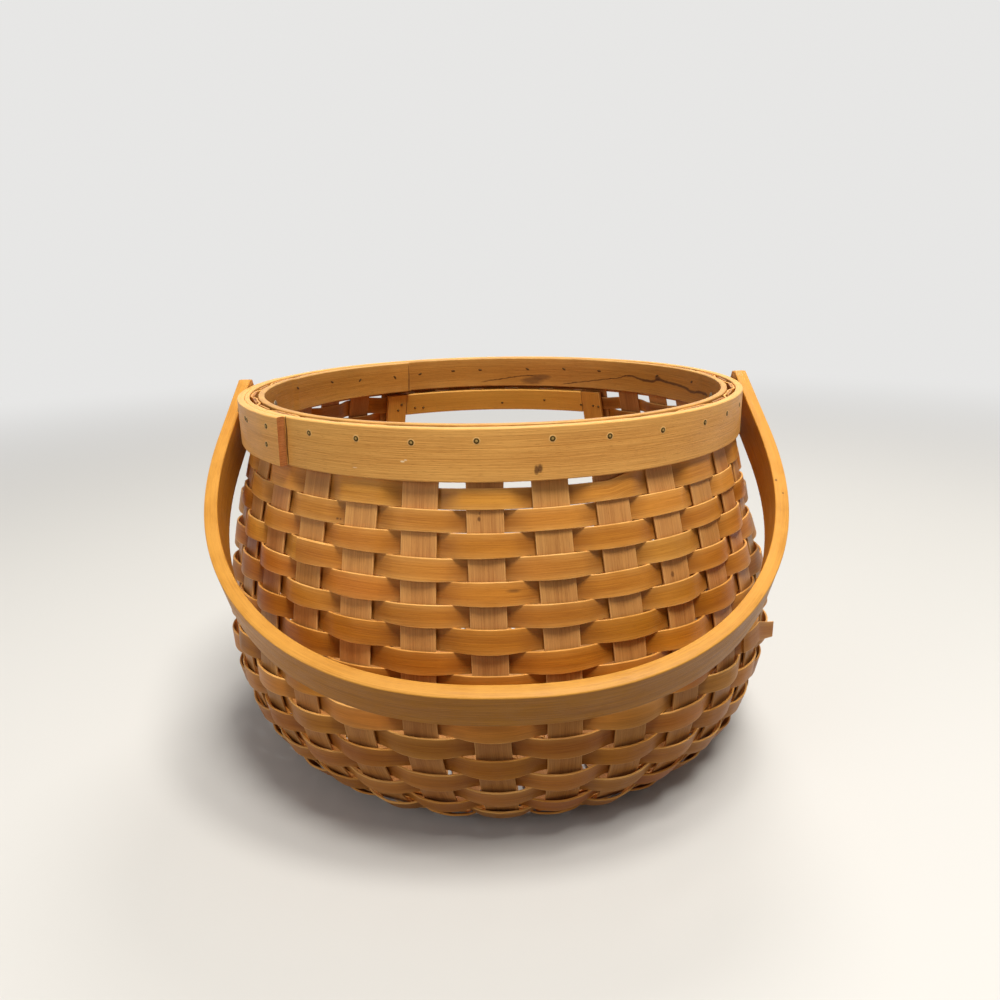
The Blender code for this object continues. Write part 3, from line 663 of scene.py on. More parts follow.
def squared(stations, ring):
    """Turns each station's outward side square to the strip as it really runs."""
    last = len(stations) - 1
    for i, station in enumerate(stations):
        before = stations[i - 1] if i else (stations[-2] if ring else station)
        after = stations[i + 1] if i < last else (stations[1] if ring else station)
        face = station[1].cross(after[0] - before[0]).normalized()
        station[2] = -face if face.dot(station[2]) < 0 else face
    if ring:
        stations[-1] = stations[0]
    return stations


def weaver(row):
    """Stations of one row. Its ends meet behind a back stake, or lie under the posts."""
    whole = goes_round(row)
    first = 16.0 + row % 2 if whole else LEFT_POST
    run = STAKES if whole else RIGHT_POST - LEFT_POST
    spare = 0.0 if whole else UNDER_POST / (wall_at(row - 0.5).x * STEP)
    steps = round(run * PER_STAKE)
    stations = []
    for i in range(steps + 1):
        place = first - spare + (run + 2 * spare) * i / steps
        middle, slope, face, width, off = row_lie(row, place)
        thick = SPLINT_THICKNESS * (0.92 + 0.1 * wavering(place * 0.3, row, 8.0))
        # The last value is the share of painted shade in the crossings: 1 where the row goes behind
        # a stake.
        stations.append([middle, slope, face, width, thick, held(0.5 - 0.5 * off / CROSSING)])
    return squared(stations, whole)


for row in range(1, ROWS + 1):
    strip = run_strip(f"woven_row_{row:02d}", weaver(row), SPLINT_CORNER, 1.7 * row, 0.31 * row,
                      closed=goes_round(row))
    face_wood = amber_shaded_wood if row in AMBER_SHADED_ROWS else pale_wood if row in PALE_ROWS \
        else weaver_wood
    fasten(strip, [face_wood, cut_end], f"weaver_row_{row:02d}")
    if row == 2:
        spot_marks(strip, pale_wood, ROW_2_KNOTS)

# Two lap ends show: a weaver ends planed thin over its own beginning. That of row 4 lies flat,
# and that of row 10 has sprung off the wall at the right and droops.
LAP_LIFT = 1.08 * MM
LAP_THICKNESS = 0.8 * MM
LAP_DROOP = 5.5 * MM


def slant_cut(stations, slant):
    """The last end sawn off a little out of plumb."""
    middle, across, face, width, thick, depth = stations[-1]
    run = (middle - stations[-2][0]).normalized()
    stations[-1] = (middle, across + run * slant, face, width, thick, depth)
    return stations


def lap_end(name, row, first, last, spring, slant):
    """A lap from one place to another; its free part springs off and narrows to the tip."""
    crest = round(first + 0.5 * (1 if last > first else -1))
    high = row_lie(row, crest)[4] + LAP_LIFT
    stations = []
    for i in range(25):
        place = first + (last - first) * i / 24
        raised, free = LAP_LIFT, 0.0
        if spring and place > crest:
            free = max((place - crest - 0.12) / (last - crest - 0.12), 0.0)
            raised = high + spring * free ** 1.3 - row_lie(row, place)[4]
        middle, slope, face, width, _ = row_lie(row, place, raised)
        # The lap gets a little of the painted shade of the crossings all along.
        stations.append([middle - slope * LAP_DROOP * free, slope, face,
                         width - (0.5 + 1.5 * free) * MM, LAP_THICKNESS, 0.15])
    lap = run_strip(name, slant_cut(squared(stations, False), slant), 0.3 * MM, 4.1 * row,
                    0.77 * row)
    fasten(lap, [weaver_wood, cut_end])


lap_end("row_04_lap_end", 4, 29.70, 28.80, 0.0, 0.05)
lap_end("row_10_loose_end", 10, 36.55, 37.62, 4.2 * MM, 0.2)

# The long splints: sixteen flat splints, slightly paler and duller than the weavers. Each comes
# down the wall as a stake, crosses the others under the basket and goes up the far side. Their
# upper ends are nailed between the rim bands.
RIM_STAKE_RADIUS = 143.6 * MM
END_SET_DOWN = 0.6 * MM
STAKE_THICKNESS = SPLINT_THICKNESS * 0.96
BASE_PITCH, MIDDLE_LINE = 20.0 * MM, 3.5
BEND = 2.5 * MM


def up_the_wall(top_row):
    """Points (radius, height) up a stake from the foot to under a row, one to every half row."""
    return [wall_at(ROWS - i / 2) for i in range((ROWS - top_row) * 2 + 1)]


def half_way(side_angle, line, wall_part, high_first):
    """Half of a long splint: out along the base from its middle, round the foot and up."""
    aside = (line - MIDDLE_LINE) * BASE_PITCH
    stake_angle = side_angle + (line - MIDDLE_LINE) * STEP
    reach = aside / math.tan(stake_angle - side_angle)
    flat = STAKE_WIDTH / 2 + 0.2 * MM
    way = []
    for crossing in range(4):
        high = (crossing + high_first) % 2
        for shift in (-flat, 0.0, flat):
            way.append((out(side_angle) * ((crossing + 0.5) * BASE_PITCH + shift)
                        + beside(side_angle) * aside
                        + up(SPLINT_THICKNESS / 2 + high * CROSSING), side_angle))
    corner = out(side_angle) * reach + beside(side_angle) * aside + up(FOOT_HEIGHT)
    way.append((corner - out(side_angle) * BEND, side_angle))
    way.append((corner + out(stake_angle) * BEND, stake_angle))
    for point in wall_part:
        angle = drifted(stake_angle / STEP, point.y) * STEP
        way.append((turned(point, angle), angle))
    return way


def eased(way):
    """The same way with each bend rounded, as a thin splint takes it."""
    soft = [way[0]]
    for (a, turn_a), (b, turn_b) in zip(way, way[1:]):
        soft.append((a.lerp(b, 0.25), turn_a + (turn_b - turn_a) * 0.25))
        soft.append((a.lerp(b, 0.75), turn_a + (turn_b - turn_a) * 0.75))
    return soft + [way[-1]]


def splint_stations(way, seed):
    """Stations for a flat strip along the eased way, facing out of the basket."""
    way = eased(way)
    stations = []
    for i, (point, turn) in enumerate(way):
        before = way[max(i - 1, 0)][0]
        after = way[min(i + 1, len(way) - 1)][0]
        run = (after - before).normalized()
        side = beside(turn)
        side = (side - run * side.dot(run)).normalized()
        width = STAKE_WIDTH + 0.9 * MM + 0.5 * MM * wavering(i * 0.03, seed, 2.0)
        stations.append((settle(point), side, run.cross(side).normalized(), width,
                         STAKE_THICKNESS, 0.0))
    return stations


rim_end = [Vector((144.2 * MM, HEIGHT - BAND_HEIGHT + 1.0 * MM)),
           Vector((RIM_STAKE_RADIUS, HEIGHT - BAND_HEIGHT + 4.0 * MM)),
           Vector((RIM_STAKE_RADIUS, HEIGHT - 12.5 * MM)),
           Vector((RIM_STAKE_RADIUS, HEIGHT - END_SET_DOWN))]
to_rim = up_the_wall(0) + rim_end
to_sill = up_the_wall(13)
stake_wood = wood("dull_splint", (0.64, 0.31, 0.088), (0.42, 0.175, 0.048),
                  (0.84, 0.48, 0.17), (0.16, 0.055, 0.015), streaks=0.7, pores=0.3, drift=0.5,
                  knotty=0.8)
STAKE_KNOTS = {("front", 3): [(479.0, 519.0, 1.3, 0.8, 0.85), (479.5, 513.5, 0.8, 0.5, 0.6)],
               ("front", 6): [(672.5, 574.0, 1.7, 1.2, 0.75)]}
for kind, side_angle in (("front", STEP / 2), ("side", STEP / 2 + math.pi / 2)):
    for line in range(8):
        cut = kind == "front" and 1 < line < 7
        parity = line % 2
        near = half_way(side_angle, line, to_rim, parity)
        far = half_way(side_angle + math.pi, 7 - line, to_sill if cut else to_rim, 1 - parity)
        way = [(point, turn - math.pi) for point, turn in far[::-1]] + near
        if cut:
            way = way[1:]
        seed = line + (0 if kind == "front" else 20)
        strip = run_strip(f"long_splint_{kind}_{line + 1}", splint_stations(way, seed),
                          SPLINT_CORNER, 2.3 * seed, 0.47 * seed)
        fasten(strip, [stake_wood, cut_end], f"splint_{kind}_{line + 1}")
        spot_marks(strip, stake_wood, STAKE_KNOTS.get((kind, line), []))

# Five short stakes over the opening: the upper ends of the splints that the opening cuts. They
# are held between the rim bands above and in the head rail of the frame below.
for number, stake in enumerate(range(14, 19), 1):
    points = [wall_at(rows_down) for rows_down in (1.06, 0.7, 0.3, 0.0)] + rim_end
    way = [(turned(point, stake * STEP), stake * STEP) for point in points]
    strip = run_strip(f"stake_end_{number}", splint_stations(way, stake + 40), SPLINT_CORNER,
                      3.1 * stake, 0.53 * stake)
    fasten(strip, [stake_wood, cut_end], f"opening_stub_{number}")

# The rim weaver: one wide splint woven between the stakes' ends, hidden by the bands but for its
# upper edge, which shows from above.
RIM_WEAVER_HEIGHT = 20.9 * MM
stations = []
for i in range(STAKES * PER_STAKE + 1):
    place = i / PER_STAKE
    angle = drifted(place, HEIGHT) * STEP
    off = stand_off(0, place, 0.0, 0.0)[0]
    middle = out(angle) * (RIM_STAKE_RADIUS + off) + AXIS
    middle.z = HEIGHT - END_SET_DOWN - 0.2 * MM - RIM_WEAVER_HEIGHT / 2
    stations.append((middle, up(1.0), out(angle), RIM_WEAVER_HEIGHT, STAKE_THICKNESS, 0.0))
stations[-1] = stations[0]
strip = run_strip("woven_rim_row", stations, SPLINT_CORNER, 50.0, 9.0, closed=True)
fasten(strip, [weaver_wood], "rim_weaver")

# The rim bands: two bent hoops of paler satin wood, one outside and one inside the stakes, each
# lapped over its own planed-down end and nailed through. The outer lap ends at the front left.
HOOP_OFF = 2.4 * MM
OUTER_THICKNESS, INNER_THICKNESS = 4.0 * MM, 3.5 * MM
INNER_HEIGHT = 22.0 * MM
PLANED_END = 1.2 * MM
LAP_GAP = 0.1 * MM
# Both laps have an end at this place on the left. From there the outer lap runs to the front
# and the inner one to the back.
SEAM = 22.71


def scarf(full, place, tip, root):
    """Thickness of a hoop's planed-down end between its tip and the place where it is full."""
    return PLANED_END + (full - PLANED_END) * held((place - tip) / (root - tip))


def hoop(first, last, height, full, sign, tip, root, on_top):
    """Stations round the rim from one end of the hoop to the other; on_top says where its upper
    end covers the planed one."""
    stations = []
    steps = round(abs(last - first) * 10)
    for i in range(steps + 1):
        place = first + (last - first) * i / steps
        below = place - STAKES if on_top(place) == (sign > 0) else place
        lift, thick = 0.0, scarf(full, below, tip, root)
        if on_top(place):
            lift, thick = thick + LAP_GAP, full
        facing = out(place * STEP)
        middle = facing * (RIM_STAKE_RADIUS + sign * (HOOP_OFF + lift + thick / 2)) + AXIS
        uneven = 0.12 * MM * wavering(place * 0.4, sign, 4.0)
        middle.z = HEIGHT - height / 2 + uneven
        stations.append((middle, up(1.0), facing, height + uneven, thick, 0.0))
    return stations


def band_finish(name, light, dark):
    """Satin bentwood with fine level lines."""
    return wood(name, light, dark, (0.92, 0.56, 0.18), (0.25, 0.09, 0.02), streaks=0.62,
                pores=0.35, drift=0.3, knotty=0.5, grain_depth=0.3, batches=0.4)


outer_band_wood = band_finish("outer_hoop_wood", (0.93, 0.485, 0.125), (0.61, 0.268, 0.054))
# Painted shade: the inner hoop is a darker copy of the outer hoop's wood, for the shade inside the
# basket.
shaded_inner_band_wood = band_finish("shaded_inner_hoop_wood", (0.56, 0.24, 0.044), (0.34, 0.13, 0.021))
lap_cut = wood("orange_cut_wood", (0.66, 0.25, 0.075), (0.44, 0.135, 0.036), (0.78, 0.36, 0.12),
               (0.2, 0.07, 0.015), streaks=0.9, pores=0.9, wear=0.3, coat=0.0, grain_depth=0.6)
outer_stations = hoop(-9 - 7.65 / 29.4, 28.15, BAND_HEIGHT, OUTER_THICKNESS, sign=1, tip=-9,
                      root=-4, on_top=lambda place: place > SEAM)
outer_hoop = run_strip("outer_hoop", slant_cut(outer_stations, 0.05), 0.55 * MM, 70.0, 11.0)
fasten(outer_hoop, [outer_band_wood, lap_cut], "outer_rim_band")
inner_stations = hoop(19 - 11.6 / 27.0, 54 + 7.65 / 27.0, INNER_HEIGHT, INNER_THICKNESS,
                      sign=-1, tip=23, root=19, on_top=lambda place: place < SEAM)
inner_hoop = run_strip("inner_hoop", inner_stations, 0.55 * MM, 80.0, 13.0)
fasten(inner_hoop, [shaded_inner_band_wood, lap_cut], "inner_rim_band")

# The marks on the bands: a knot, a painted shadow line at the lap and pale scratches on the outer
# one, and brown stains, a painted shadow line at the lap joint and two cracks on the inner one.
OUTER_KNOT = [(536.8, 470.0, 1.3, 2.4, 0.85), (540.3, 468.4, 1.3, 2.2, 0.85)]
# Painted shadow: a dark line on the outer hoop along the edge of its lap.
OUTER_LAP_SHADOW = [(286.4, 429.0, 0.7, 9.0, 0.95), (287.4, 450.0, 0.7, 9.0, 0.95)]
SCRATCHES = [(402.5, 461.5, 1.2, 0.5, 0.8), (405.5, 460.2, 0.9, 0.4, 0.7),
             (355.0, 467.5, 1.4, 0.3, 0.5)]
INNER_STAINS = [(532.0, 380.5, 10.0, 3.2, 0.7), (541.0, 377.0, 9.0, 2.2, 0.7),
                (657.5, 378.5, 3.2, 2.2, 0.85)]
# Painted shadow: a dark line on the inner hoop at the end of its lap.
INNER_LAP_SHADOW = [(409.0, 376.0, 0.6, 9.0, 0.75), (409.0, 389.0, 0.6, 9.0, 0.75)]
CRACK_SPOTS = [(561, 384.3), (580, 382), (591, 380.8), (601, 379.6), (620, 377.7), (630, 375.8),
               (637, 378), (646, 380.6), (653, 381.4), (658.5, 379.6), (666, 382), (680, 385.8),
               (687, 388.8), (691.5, 391.8), (700, 392.2), (708.5, 396)]
HAIR_CRACK_SPOTS = [(480, 382.2), (492, 380.2), (503, 378.6), (516, 376.6), (527, 375.6),
                    (538, 375.8)]
# The second tone is used for the brown stains and for the painted shadow at the inner lap.
SCRATCH_TONE, STAIN_AND_SHADOW_TONE = (0.98, 0.80, 0.52), (0.14, 0.055, 0.018)
spot_marks(outer_hoop, outer_band_wood, OUTER_KNOT + OUTER_LAP_SHADOW)
spot_marks(outer_hoop, outer_band_wood, SCRATCHES, stain=SCRATCH_TONE)
spot_marks(inner_hoop, shaded_inner_band_wood, INNER_STAINS + INNER_LAP_SHADOW, stain=STAIN_AND_SHADOW_TONE)


def build_crack(points, thin_from):
    """A ragged dark line through points of the grain map, broad as far as thin_from."""
    group, given, result = new_group("crack_in_hoop", {
        "Color": (0.5, 0.3, 0.1, 1.0), "Place": None}, ["Color"])
    points = sorted(points, key=lambda point: point.x)
    start, stop = points[0].x, points[-1].x
    low = min(point.y for point in points)
    tall = max(point.y for point in points) - low
    spot = node(group, "ShaderNodeSeparateXYZ", i0=given["Place"]).outputs
    line = node(group, "ShaderNodeFloatCurve", Value=graded(group, spot[0], start, stop))
    bends = line.mapping.curves[0].points
    for number, point in enumerate(points):
        at = ((point.x - start) / (stop - start), (point.y - low) / tall)
        if number in (0, len(points) - 1):
            bends[0 if number == 0 else -1].location = at
        else:
            bends.new(*at)
    line.mapping.update()
    path = maths(group, "MULTIPLY_ADD", line.outputs[0], tall, low)
    rough = grain_noise(group, given["Place"], 260.0, 700.0, 3.0)["Fac"]
    astray = maths(group, "MULTIPLY_ADD", rough, 0.0014, spot[1])
    aside = maths(group, "SUBTRACT", maths(group, "SUBTRACT", astray, path), 0.0007)
    half = graded(group, spot[0], thin_from - 0.012, thin_from + 0.006, 0.001, 0.0004)
    share = maths(group, "DIVIDE", maths(group, "ABSOLUTE", aside), half)
    ends = maths(group, "MULTIPLY", graded(group, spot[0], start, start + 0.004),
                 graded(group, spot[0], stop - 0.004, stop, 1.0, 0.0))
    depth = maths(group, "MULTIPLY", graded(group, share, 0.5, 1.3, 0.85, 0.0), ends)
    cracked = mixed(group, depth, given["Color"], (0.075, 0.026, 0.008, 1.0))
    group.links.new(cracked, result["Color"])
    return group


crack = grain_under(inner_hoop, CRACK_SPOTS)
hair_crack = grain_under(inner_hoop, HAIR_CRACK_SPOTS)
mark(shaded_inner_band_wood, build_crack(crack, crack[5].x))
mark(shaded_inner_band_wood, build_crack(hair_crack, hair_crack[5].x - 0.1))

# The frame of the opening: posts, head rail and sill of flat battens inside and outside the
# back wall, bent with it and nailed through. They hold the cut ends of rows and stakes.
FRAME_THICKNESS = 3.5 * MM
POST_WIDTH = 16.0 * MM
BATTEN_OFF = 4.15 * MM
POST_SHIFT = 3.0 * MM
RAIL_SET_BACK = 11.3 * MM
HEAD_RAIL_DROP = 13.4 * MM
SILL_HEIGHT = 3.0 * MM
BATTEN_STEPS = 60
# Painted light: the battens' wood is paler than its own tone, for light on the frame at the back
# that these lamps leave in shade.
frame_wood_with_painted_light = wood("batten_painted_light_wood", (0.96, 0.51, 0.092), (0.74, 0.32, 0.052),
                  (0.90, 0.50, 0.14), (0.2, 0.07, 0.015), streaks=0.55, pores=0.25)


def post(stake, shift, sign, top_rise):
    """A batten up the wall beside a stake, inside (-1) or outside (1), to over the neck."""
    angle = stake * STEP
    top, bottom = -top_rise / ROW_PITCH, 14 + SILL_HEIGHT / ROW_PITCH
    stations = []
    for i in range(BATTEN_STEPS + 1):
        rows_down = bottom + (top - bottom) * i / BATTEN_STEPS
        over = (WALL[1] - WALL[0]).normalized() * min(rows_down, 0.0) * ROW_PITCH
        normal = wall_out(max(rows_down, 0.5))
        spot = wall_at(max(rows_down, 0.0)) + over + normal * sign * BATTEN_OFF
        stations.append((settle(turned(spot, angle) + beside(angle) * shift), beside(angle),
                         turned(normal, angle), POST_WIDTH, FRAME_THICKNESS, 0.0))
    return stations


def rail(high, low, sign):
    """A batten round the wall from post to post, between two heights counted in rows down."""
    middle_row = (high + low) / 2
    edge = RAIL_SET_BACK / (wall_at(middle_row).x * STEP)
    over = (wall_at(0.2) - wall_at(0.0)).normalized() * min(high, 0.0) * ROW_PITCH
    a, b = wall_at(max(high, 0.0)) + over, wall_at(low)
    normal = wall_out(middle_row)
    first, last = RIGHT_POST - STAKES + edge, LEFT_POST - edge
    stations = []
    for i in range(BATTEN_STEPS + 1):
        angle = (first + (last - first) * i / BATTEN_STEPS) * STEP
        middle = settle(turned((a + b) / 2 + normal * sign * BATTEN_OFF, angle))
        stations.append((middle, turned(a - b, angle).normalized(), turned(normal, angle),
                         (a - b).length, FRAME_THICKNESS, 0.0))
    return stations


for order, (side, sign, rise) in enumerate((("inner", -1, 4.0 * MM), ("outer", 1, 0.8 * MM))):
    battens = {
        f"{side}_post_left": post(LEFT_POST, -POST_SHIFT, sign, rise),
        f"{side}_post_right": post(RIGHT_POST - STAKES, POST_SHIFT, sign, rise),
        f"{side}_head_rail": rail(-rise / ROW_PITCH, HEAD_RAIL_DROP / ROW_PITCH, sign),
        f"{side}_sill_rail": rail(13 - SILL_HEIGHT / ROW_PITCH, 14 + SILL_HEIGHT / ROW_PITCH, sign),
    }
    for number, (batten, stations) in enumerate(battens.items()):
        strip = run_strip(f"batten_{batten}", stations, 0.5 * MM, 5.0 * number + 40.0 * order,
                          0.6 * number)
        fasten(strip, [frame_wood_with_painted_light, cut_end], batten)

# The swing handle: one strip of bentwood, an inch wide and seven millimetres thick, with broken
# edges. It hangs on a pin at each side and lies down on the front of the basket.
WIDE, THICK = 25.4 * MM, 7.0 * MM
REACH, LEG, OVERHANG = 214.6 * MM, 46.0 * MM, 14.5 * MM
LEG_RIGHT, LEG_LEFT = 152.4 * MM, 152.81 * MM
HALF = (LEG_RIGHT + LEG_LEFT) / 2 + THICK / 2
SPLAY = 1.0 * MM
SKEW = 2.8 * MM
BOW_CURVE, BOW_STEPS = 2.33, 120
CAD_EDGE_BREAK = 0.9 * MM
END_NARROWING = 5.6 * MM
PIVOT_HEIGHT = 207.5 * MM


def rest_dip():
    """Angle at which the CAD handle rests, read from how far its lowest corner reaches."""
    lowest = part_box("swing_handle")[0][2]
    low, high = 0.0, 1.0
    for _ in range(50):
        dip = (low + high) / 2
        half_width = WIDE / 2 - CAD_EDGE_BREAK
        if PIVOT_HEIGHT - REACH * math.sin(dip) - half_width * math.cos(dip) > lowest:
            low = dip
        else:
            high = dip
    return low


def bow_point(x, y):
    """Point of the bow, seen flat; it was bent a little to the right."""
    return Vector((x + SKEW * y / REACH, y, 0.0))


def leg(sign):
    """One straight leg from its tip past the pin to the bend; the legs splay a little."""
    return [bow_point(sign * (HALF + SPLAY * y / LEG), y)
            for y in (-OVERHANG, 4.0 * MM - OVERHANG, -5.0 * MM, 0.0, 8.0 * MM, 20.0 * MM,
                      33.0 * MM)]


bow = leg(-1)
for i in range(BOW_STEPS + 1):
    turn = math.pi * i / BOW_STEPS
    x = -math.copysign(abs(math.cos(turn)) ** (2 / BOW_CURVE), math.cos(turn))
    y = math.sin(turn) ** (2 / BOW_CURVE) if 0 < i < BOW_STEPS else 0.0
    bow.append(bow_point(x * (HALF + SPLAY), LEG + y * (REACH - THICK / 2 - LEG)))
bow += leg(1)[::-1]
swing = Matrix.Translation(AXIS + Vector(((LEG_RIGHT - LEG_LEFT) / 2, 0.0, PIVOT_HEIGHT))) \
    @ Matrix.Rotation(rest_dip(), 4, "X")
stations = []
for i, point in enumerate(bow):
    run = (bow[min(i + 1, len(bow) - 1)] - bow[max(i - 1, 0)]).normalized()
    wide = WIDE - (END_NARROWING if i in (0, len(bow) - 1) else 0.0)
    stations.append((swing @ Vector((point.x, -point.y, 0.0)), swing.to_3x3() @ up(1.0),
                     swing.to_3x3() @ Vector((-run.y, -run.x, 0.0)), wide, THICK, 0.0))
handle_wood = wood("handle_bentwood", (0.63, 0.285, 0.038), (0.42, 0.165, 0.021),
                   (0.78, 0.39, 0.075), (0.3, 0.11, 0.02), streaks=0.85, pores=0.35, drift=0.3,
                   wear=0.7, knotty=0.7, grain_depth=0.35, batches=0.3)
HANDLE_KNOTS = [(776.0, 480.0, 1.1, 0.7, 0.8), (783.0, 493.0, 0.8, 0.6, 0.7),
                (779.5, 447.0, 0.6, 0.5, 0.6)]
bail = run_strip("bentwood_handle", stations, 0.6 * MM, 90.0, 15.0)
fasten(bail, [handle_wood, cut_end], "swing_handle", body="handle")
spot_marks(bail, handle_wood, HANDLE_KNOTS)

# The pivot pins: darkened steel rivets through the handle and both bands, with a low round head
# at each end.
PIN_RADIUS, PIN_HEAD, LOW_HEAD = 2.4 * MM, 5.2 * MM, 3.4 * MM
PIN_INNER_END = 137.4 * MM


def build_clouds():
    """Darkened metal: clouds of a darker and a lighter tone, and of a duller and a finer polish."""
    group, given, result = new_group("clouded_steel", {
        "Place": None, "Dark": (0.1, 0.1, 0.1, 1.0), "Light": (0.3, 0.3, 0.3, 1.0)},
        ["Color", "Roughness"])
    cloud = node(group, "ShaderNodeTexNoise", Vector=given["Place"], Scale=420.0, Detail=4.0)
    cloud = cloud.outputs["Fac"]
    group.links.new(mixed(group, cloud, given["Dark"], given["Light"]), result["Color"])
    group.links.new(graded(group, cloud, 0.3, 0.7, 0.5, 0.75), result["Roughness"])
    return group


clouds = build_clouds()


def steel(name, dark, light):
    finish, tree, shader = new_finish(name)
    place = node(tree, "ShaderNodeTexCoord").outputs["Object"]
    clouded = effect(tree, clouds, Place=place, Dark=(*dark, 1.0), Light=(*light, 1.0))
    tree.links.new(clouded["Color"], shader.inputs["Base Color"])
    tree.links.new(clouded["Roughness"], shader.inputs["Roughness"])
    shader.inputs["Metallic"].default_value = 0.9
    return finish


pin_steel = steel("darkened_steel", (0.16, 0.12, 0.08), (0.36, 0.28, 0.19))
for side, sign, leg_off in (("left", -1, LEG_LEFT), ("right", 1, LEG_RIGHT)):
    inner, outer = PIN_INNER_END, leg_off + THICK + 0.3 * MM
    profile = [(inner - 0.7 * MM, 0.0), (inner - 0.65 * MM, LOW_HEAD * 0.5),
               (inner - 0.4 * MM, LOW_HEAD * 0.85), (inner - 0.1 * MM, LOW_HEAD),
               (inner, LOW_HEAD), (inner, PIN_RADIUS), (outer, PIN_RADIUS), (outer, PIN_HEAD),
               (outer + 0.3 * MM, PIN_HEAD), (outer + 0.8 * MM, PIN_HEAD * 0.97),
               (outer + 1.5 * MM, PIN_HEAD * 0.78), (outer + 1.9 * MM, PIN_HEAD * 0.45),
               (outer + 2.0 * MM, 0.0)]
    pin = bmesh.new()
    chain = [pin.verts.new((sign * x, 0.0, radius)) for x, radius in profile]
    run = [pin.edges.new(pair) for pair in zip(chain, chain[1:])]
    bmesh.ops.spin(pin, geom=chain + run, axis=(1.0, 0.0, 0.0), cent=(0.0, 0.0, 0.0),
                   angle=2 * math.pi, steps=40, use_merge=True)
    bmesh.ops.remove_doubles(pin, verts=pin.verts, dist=0.005 * MM)
    bmesh.ops.translate(pin, verts=pin.verts, vec=AXIS + up(PIVOT_HEIGHT))
    fasten(finished(f"pivot_rivet_{side}", pin, sharp=60), [pin_steel],
           f"pivot_pin_{side}")

# The nails: small steel nails hold the bands, one to each stake but the two at the pivots, and
# are bent over inside. Their heads lie in shallow dents that the hammer left in the wood.
dent_wood = wood("bruised_wood", (0.90, 0.55, 0.20), (0.62, 0.31, 0.085), (0.9, 0.57, 0.25),
                 (0.2, 0.08, 0.02), streaks=0.4, pores=0.2, coat=0.0, batches=0.2)
stain_wood = wood("rust_stained_wood", (0.24, 0.085, 0.02), (0.12, 0.04, 0.01),
                  (0.3, 0.12, 0.03), (0.1, 0.04, 0.01), pores=0.3, coat=0.0, batches=0.2)
nail_rim_steel = steel("nail_steel", (0.055, 0.030, 0.006), (0.12, 0.072, 0.018))
nail_crown_steel = steel("rubbed_nail_steel", (0.25, 0.16, 0.05), (0.42, 0.28, 0.095))
RIM_STEEL, CROWN_STEEL, AROUND = range(3)
BRUISE_DEPTH, HEAD_DEPTH, CROWN_DEPTH = 0.09 * MM, 0.30 * MM, 0.42 * MM
CROWN_SHARE, POINT_SHARE = 0.58, 0.62


def add_button(mesh, spot, face, across, wide, tall, deep, finish):
    """A low round or long button of metal or bruised wood, half sunk in what carries it."""
    lie = Matrix((across * wide, face.cross(across).normalized() * tall,
                  face * deep)).transposed().to_4x4()
    lie.translation = spot
    made = bmesh.ops.create_uvsphere(mesh, u_segments=14, v_segments=8, radius=1.0, matrix=lie)
    for corner in made["verts"]:
        for touching in corner.link_faces:
            touching.material_index = finish


def nail_row(name, spots, spot_on, inward, head, bruise=1.3, around=dent_wood, long=1.0):
    """Nail heads, or bent-over points that are long, at places given as (stakes from the front,
    millimetres below the rim)."""
    mesh = bmesh.new()
    for number, (place, drop) in enumerate(spots):
        angle = place * STEP
        face = -out(angle) if inward else out(angle)
        spot = spot_on(place, drop)
        swirl = wavering(number * 1.7, drop, 3.0) * 2.0
        across = beside(angle) * math.cos(swirl) + up(math.sin(swirl))
        add_button(mesh, spot, face, across, head * bruise * long, head * bruise, BRUISE_DEPTH,
                   AROUND)
        add_button(mesh, spot, face, across, head * long,
                   head * (POINT_SHARE if long > 1 else 1.0), HEAD_DEPTH, RIM_STEEL)
        if long == 1:
            add_button(mesh, spot, face, across, head * CROWN_SHARE, head * CROWN_SHARE,
                       CROWN_DEPTH, CROWN_STEEL)
    fasten(finished(name, mesh, sharp=80),
           [nail_rim_steel, nail_crown_steel, around])


def hoop_face(sign, full, lap, tip, root):
    """Finds spots on a band's face, which stands further off where the band laps."""
    def spot_on(place, drop):
        off = HOOP_OFF + full
        if lap[0] < place % STAKES < lap[1]:
            off += scarf(full, place % STAKES, tip, root) + LAP_GAP
        return out(place * STEP) * (RIM_STAKE_RADIUS + sign * off) + AXIS \
            + up(HEIGHT - drop * MM)
    return spot_on


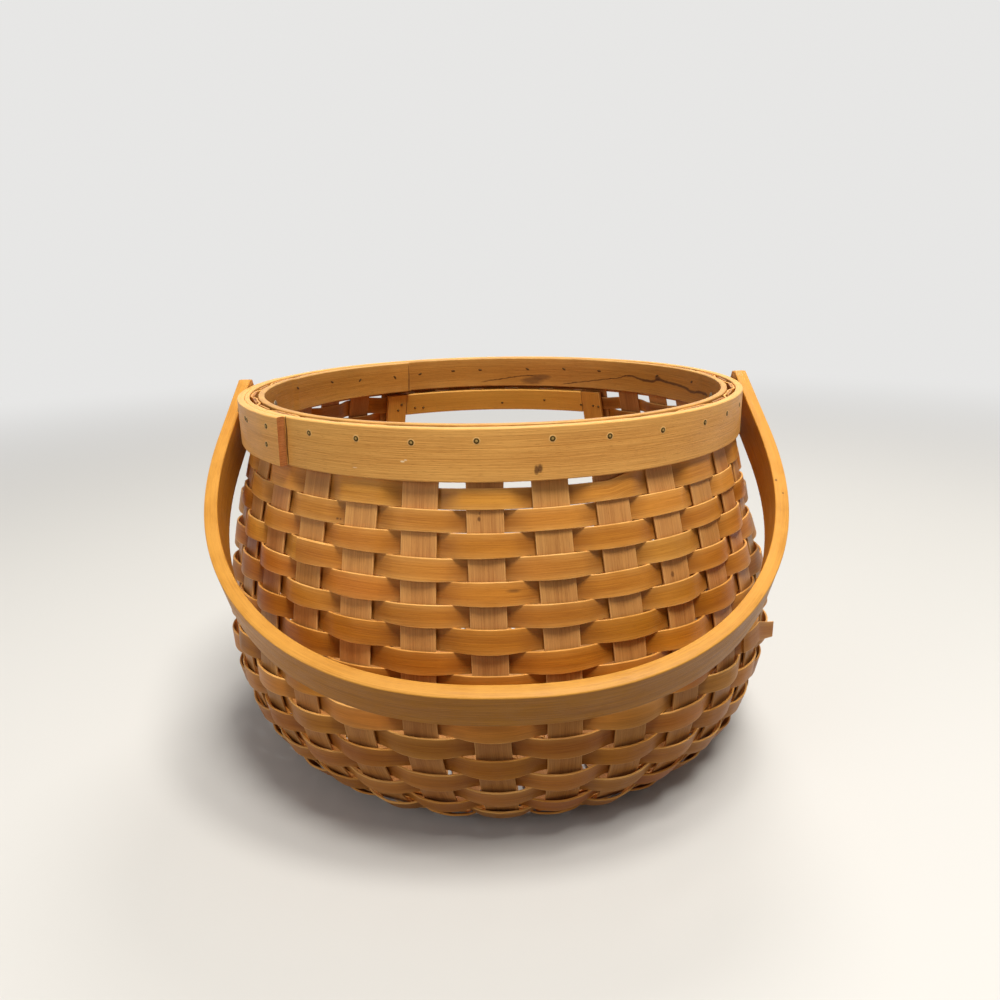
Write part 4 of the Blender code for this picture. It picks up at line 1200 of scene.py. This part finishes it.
heads = {-3: (-3.186, 6.3), -2: (-2.2, 6.4), -1: (-1.25, 6.8), 0: (-0.232, 5.7), 1: (0.929, 5.7),
         2: (1.873, 6.6), 3: (2.905, 7.05), 4: (4.005, 7.7), 5: (4.88, 7.0)}
for stake in range(-15, 17):
    if stake not in heads and stake not in (-8, -4, 8):
        heads[stake] = (stake - 0.18 + 0.16 * wavering(stake, 1.5, 0.5),
                        6.5 + 1.2 * wavering(stake, 7.5, 0.5))
spots = [heads[stake] for stake in sorted(heads)]
spots += [(-4.21, 5.8), (-4.26, 15.3), (-5.24, 6.1)]
nail_row("rim_nails", spots, hoop_face(1, OUTER_THICKNESS, (23, 28.18), 23, 28), False, 1.4 * MM)
points = [(-9.36, 6.6), (-10.8, 7.7), (-11.8, 9.4), (-12.95, 10.3), (-13.8, 9.9), (-14.8, 9.0),
          (-15.6, 9.0), (15.0, 8.7), (13.9, 8.1), (12.8, 8.3), (10.8, 7.6), (9.3, 7.2),
          (6.9, 6.4), (5.8, 7.1), (4.9, 6.9), (3.8, 6.5), (2.9, 6.8), (1.8, 6.3), (0.8, 6.1),
          (-0.2, 6.2), (-1.2, 6.6), (-2.2, 6.2), (-3.2, 6.3), (-4.2, 6.4), (-5.2, 6.2),
          (-6.2, 6.8), (-7.1, 6.5)]
nail_row("bent_nail_points", points, hoop_face(-1, INNER_THICKNESS, (18.57, 22.7), 23, 19), True,
         0.72 * MM, bruise=1.2, around=stain_wood, long=2.0)


def frame_face(sign):
    """Finds spots on the battens' faces, inside (-1) or outside (1) the wall."""
    def spot_on(place, drop):
        rows_down = (drop * MM - NECK_DROP) / ROW_PITCH
        point = wall_at(rows_down) + wall_out(rows_down) * sign * (BATTEN_OFF + FRAME_THICKNESS / 2)
        return settle(turned(point, place * STEP))
    return spot_on


brads = [(-13.65, 35.0), (-13.9, 35.5), (15.77, 34.6), (14.52, 31.8), (13.42, 34.5),
         (-13.23, 31.5), (-13.13, 36.0), (13.05, 34.7), (12.89, 35.1)]
below = [(stake, drop) for stake in (-12.95, 13.05) for drop in (62.0, 96.0, 132.0, 170.0)]
below += [(stake, 177.0) for stake in (14.0, 15.1, -15.9, -14.9, -14.0)]
nail_row("frame_brads", brads + below, frame_face(-1), True, 0.85 * MM, around=stain_wood)
nail_row("outer_frame_brads", [(place + 0.1, drop + 1.0) for place, drop in brads[1:6] + below],
         frame_face(1), False, 0.85 * MM, around=stain_wood)
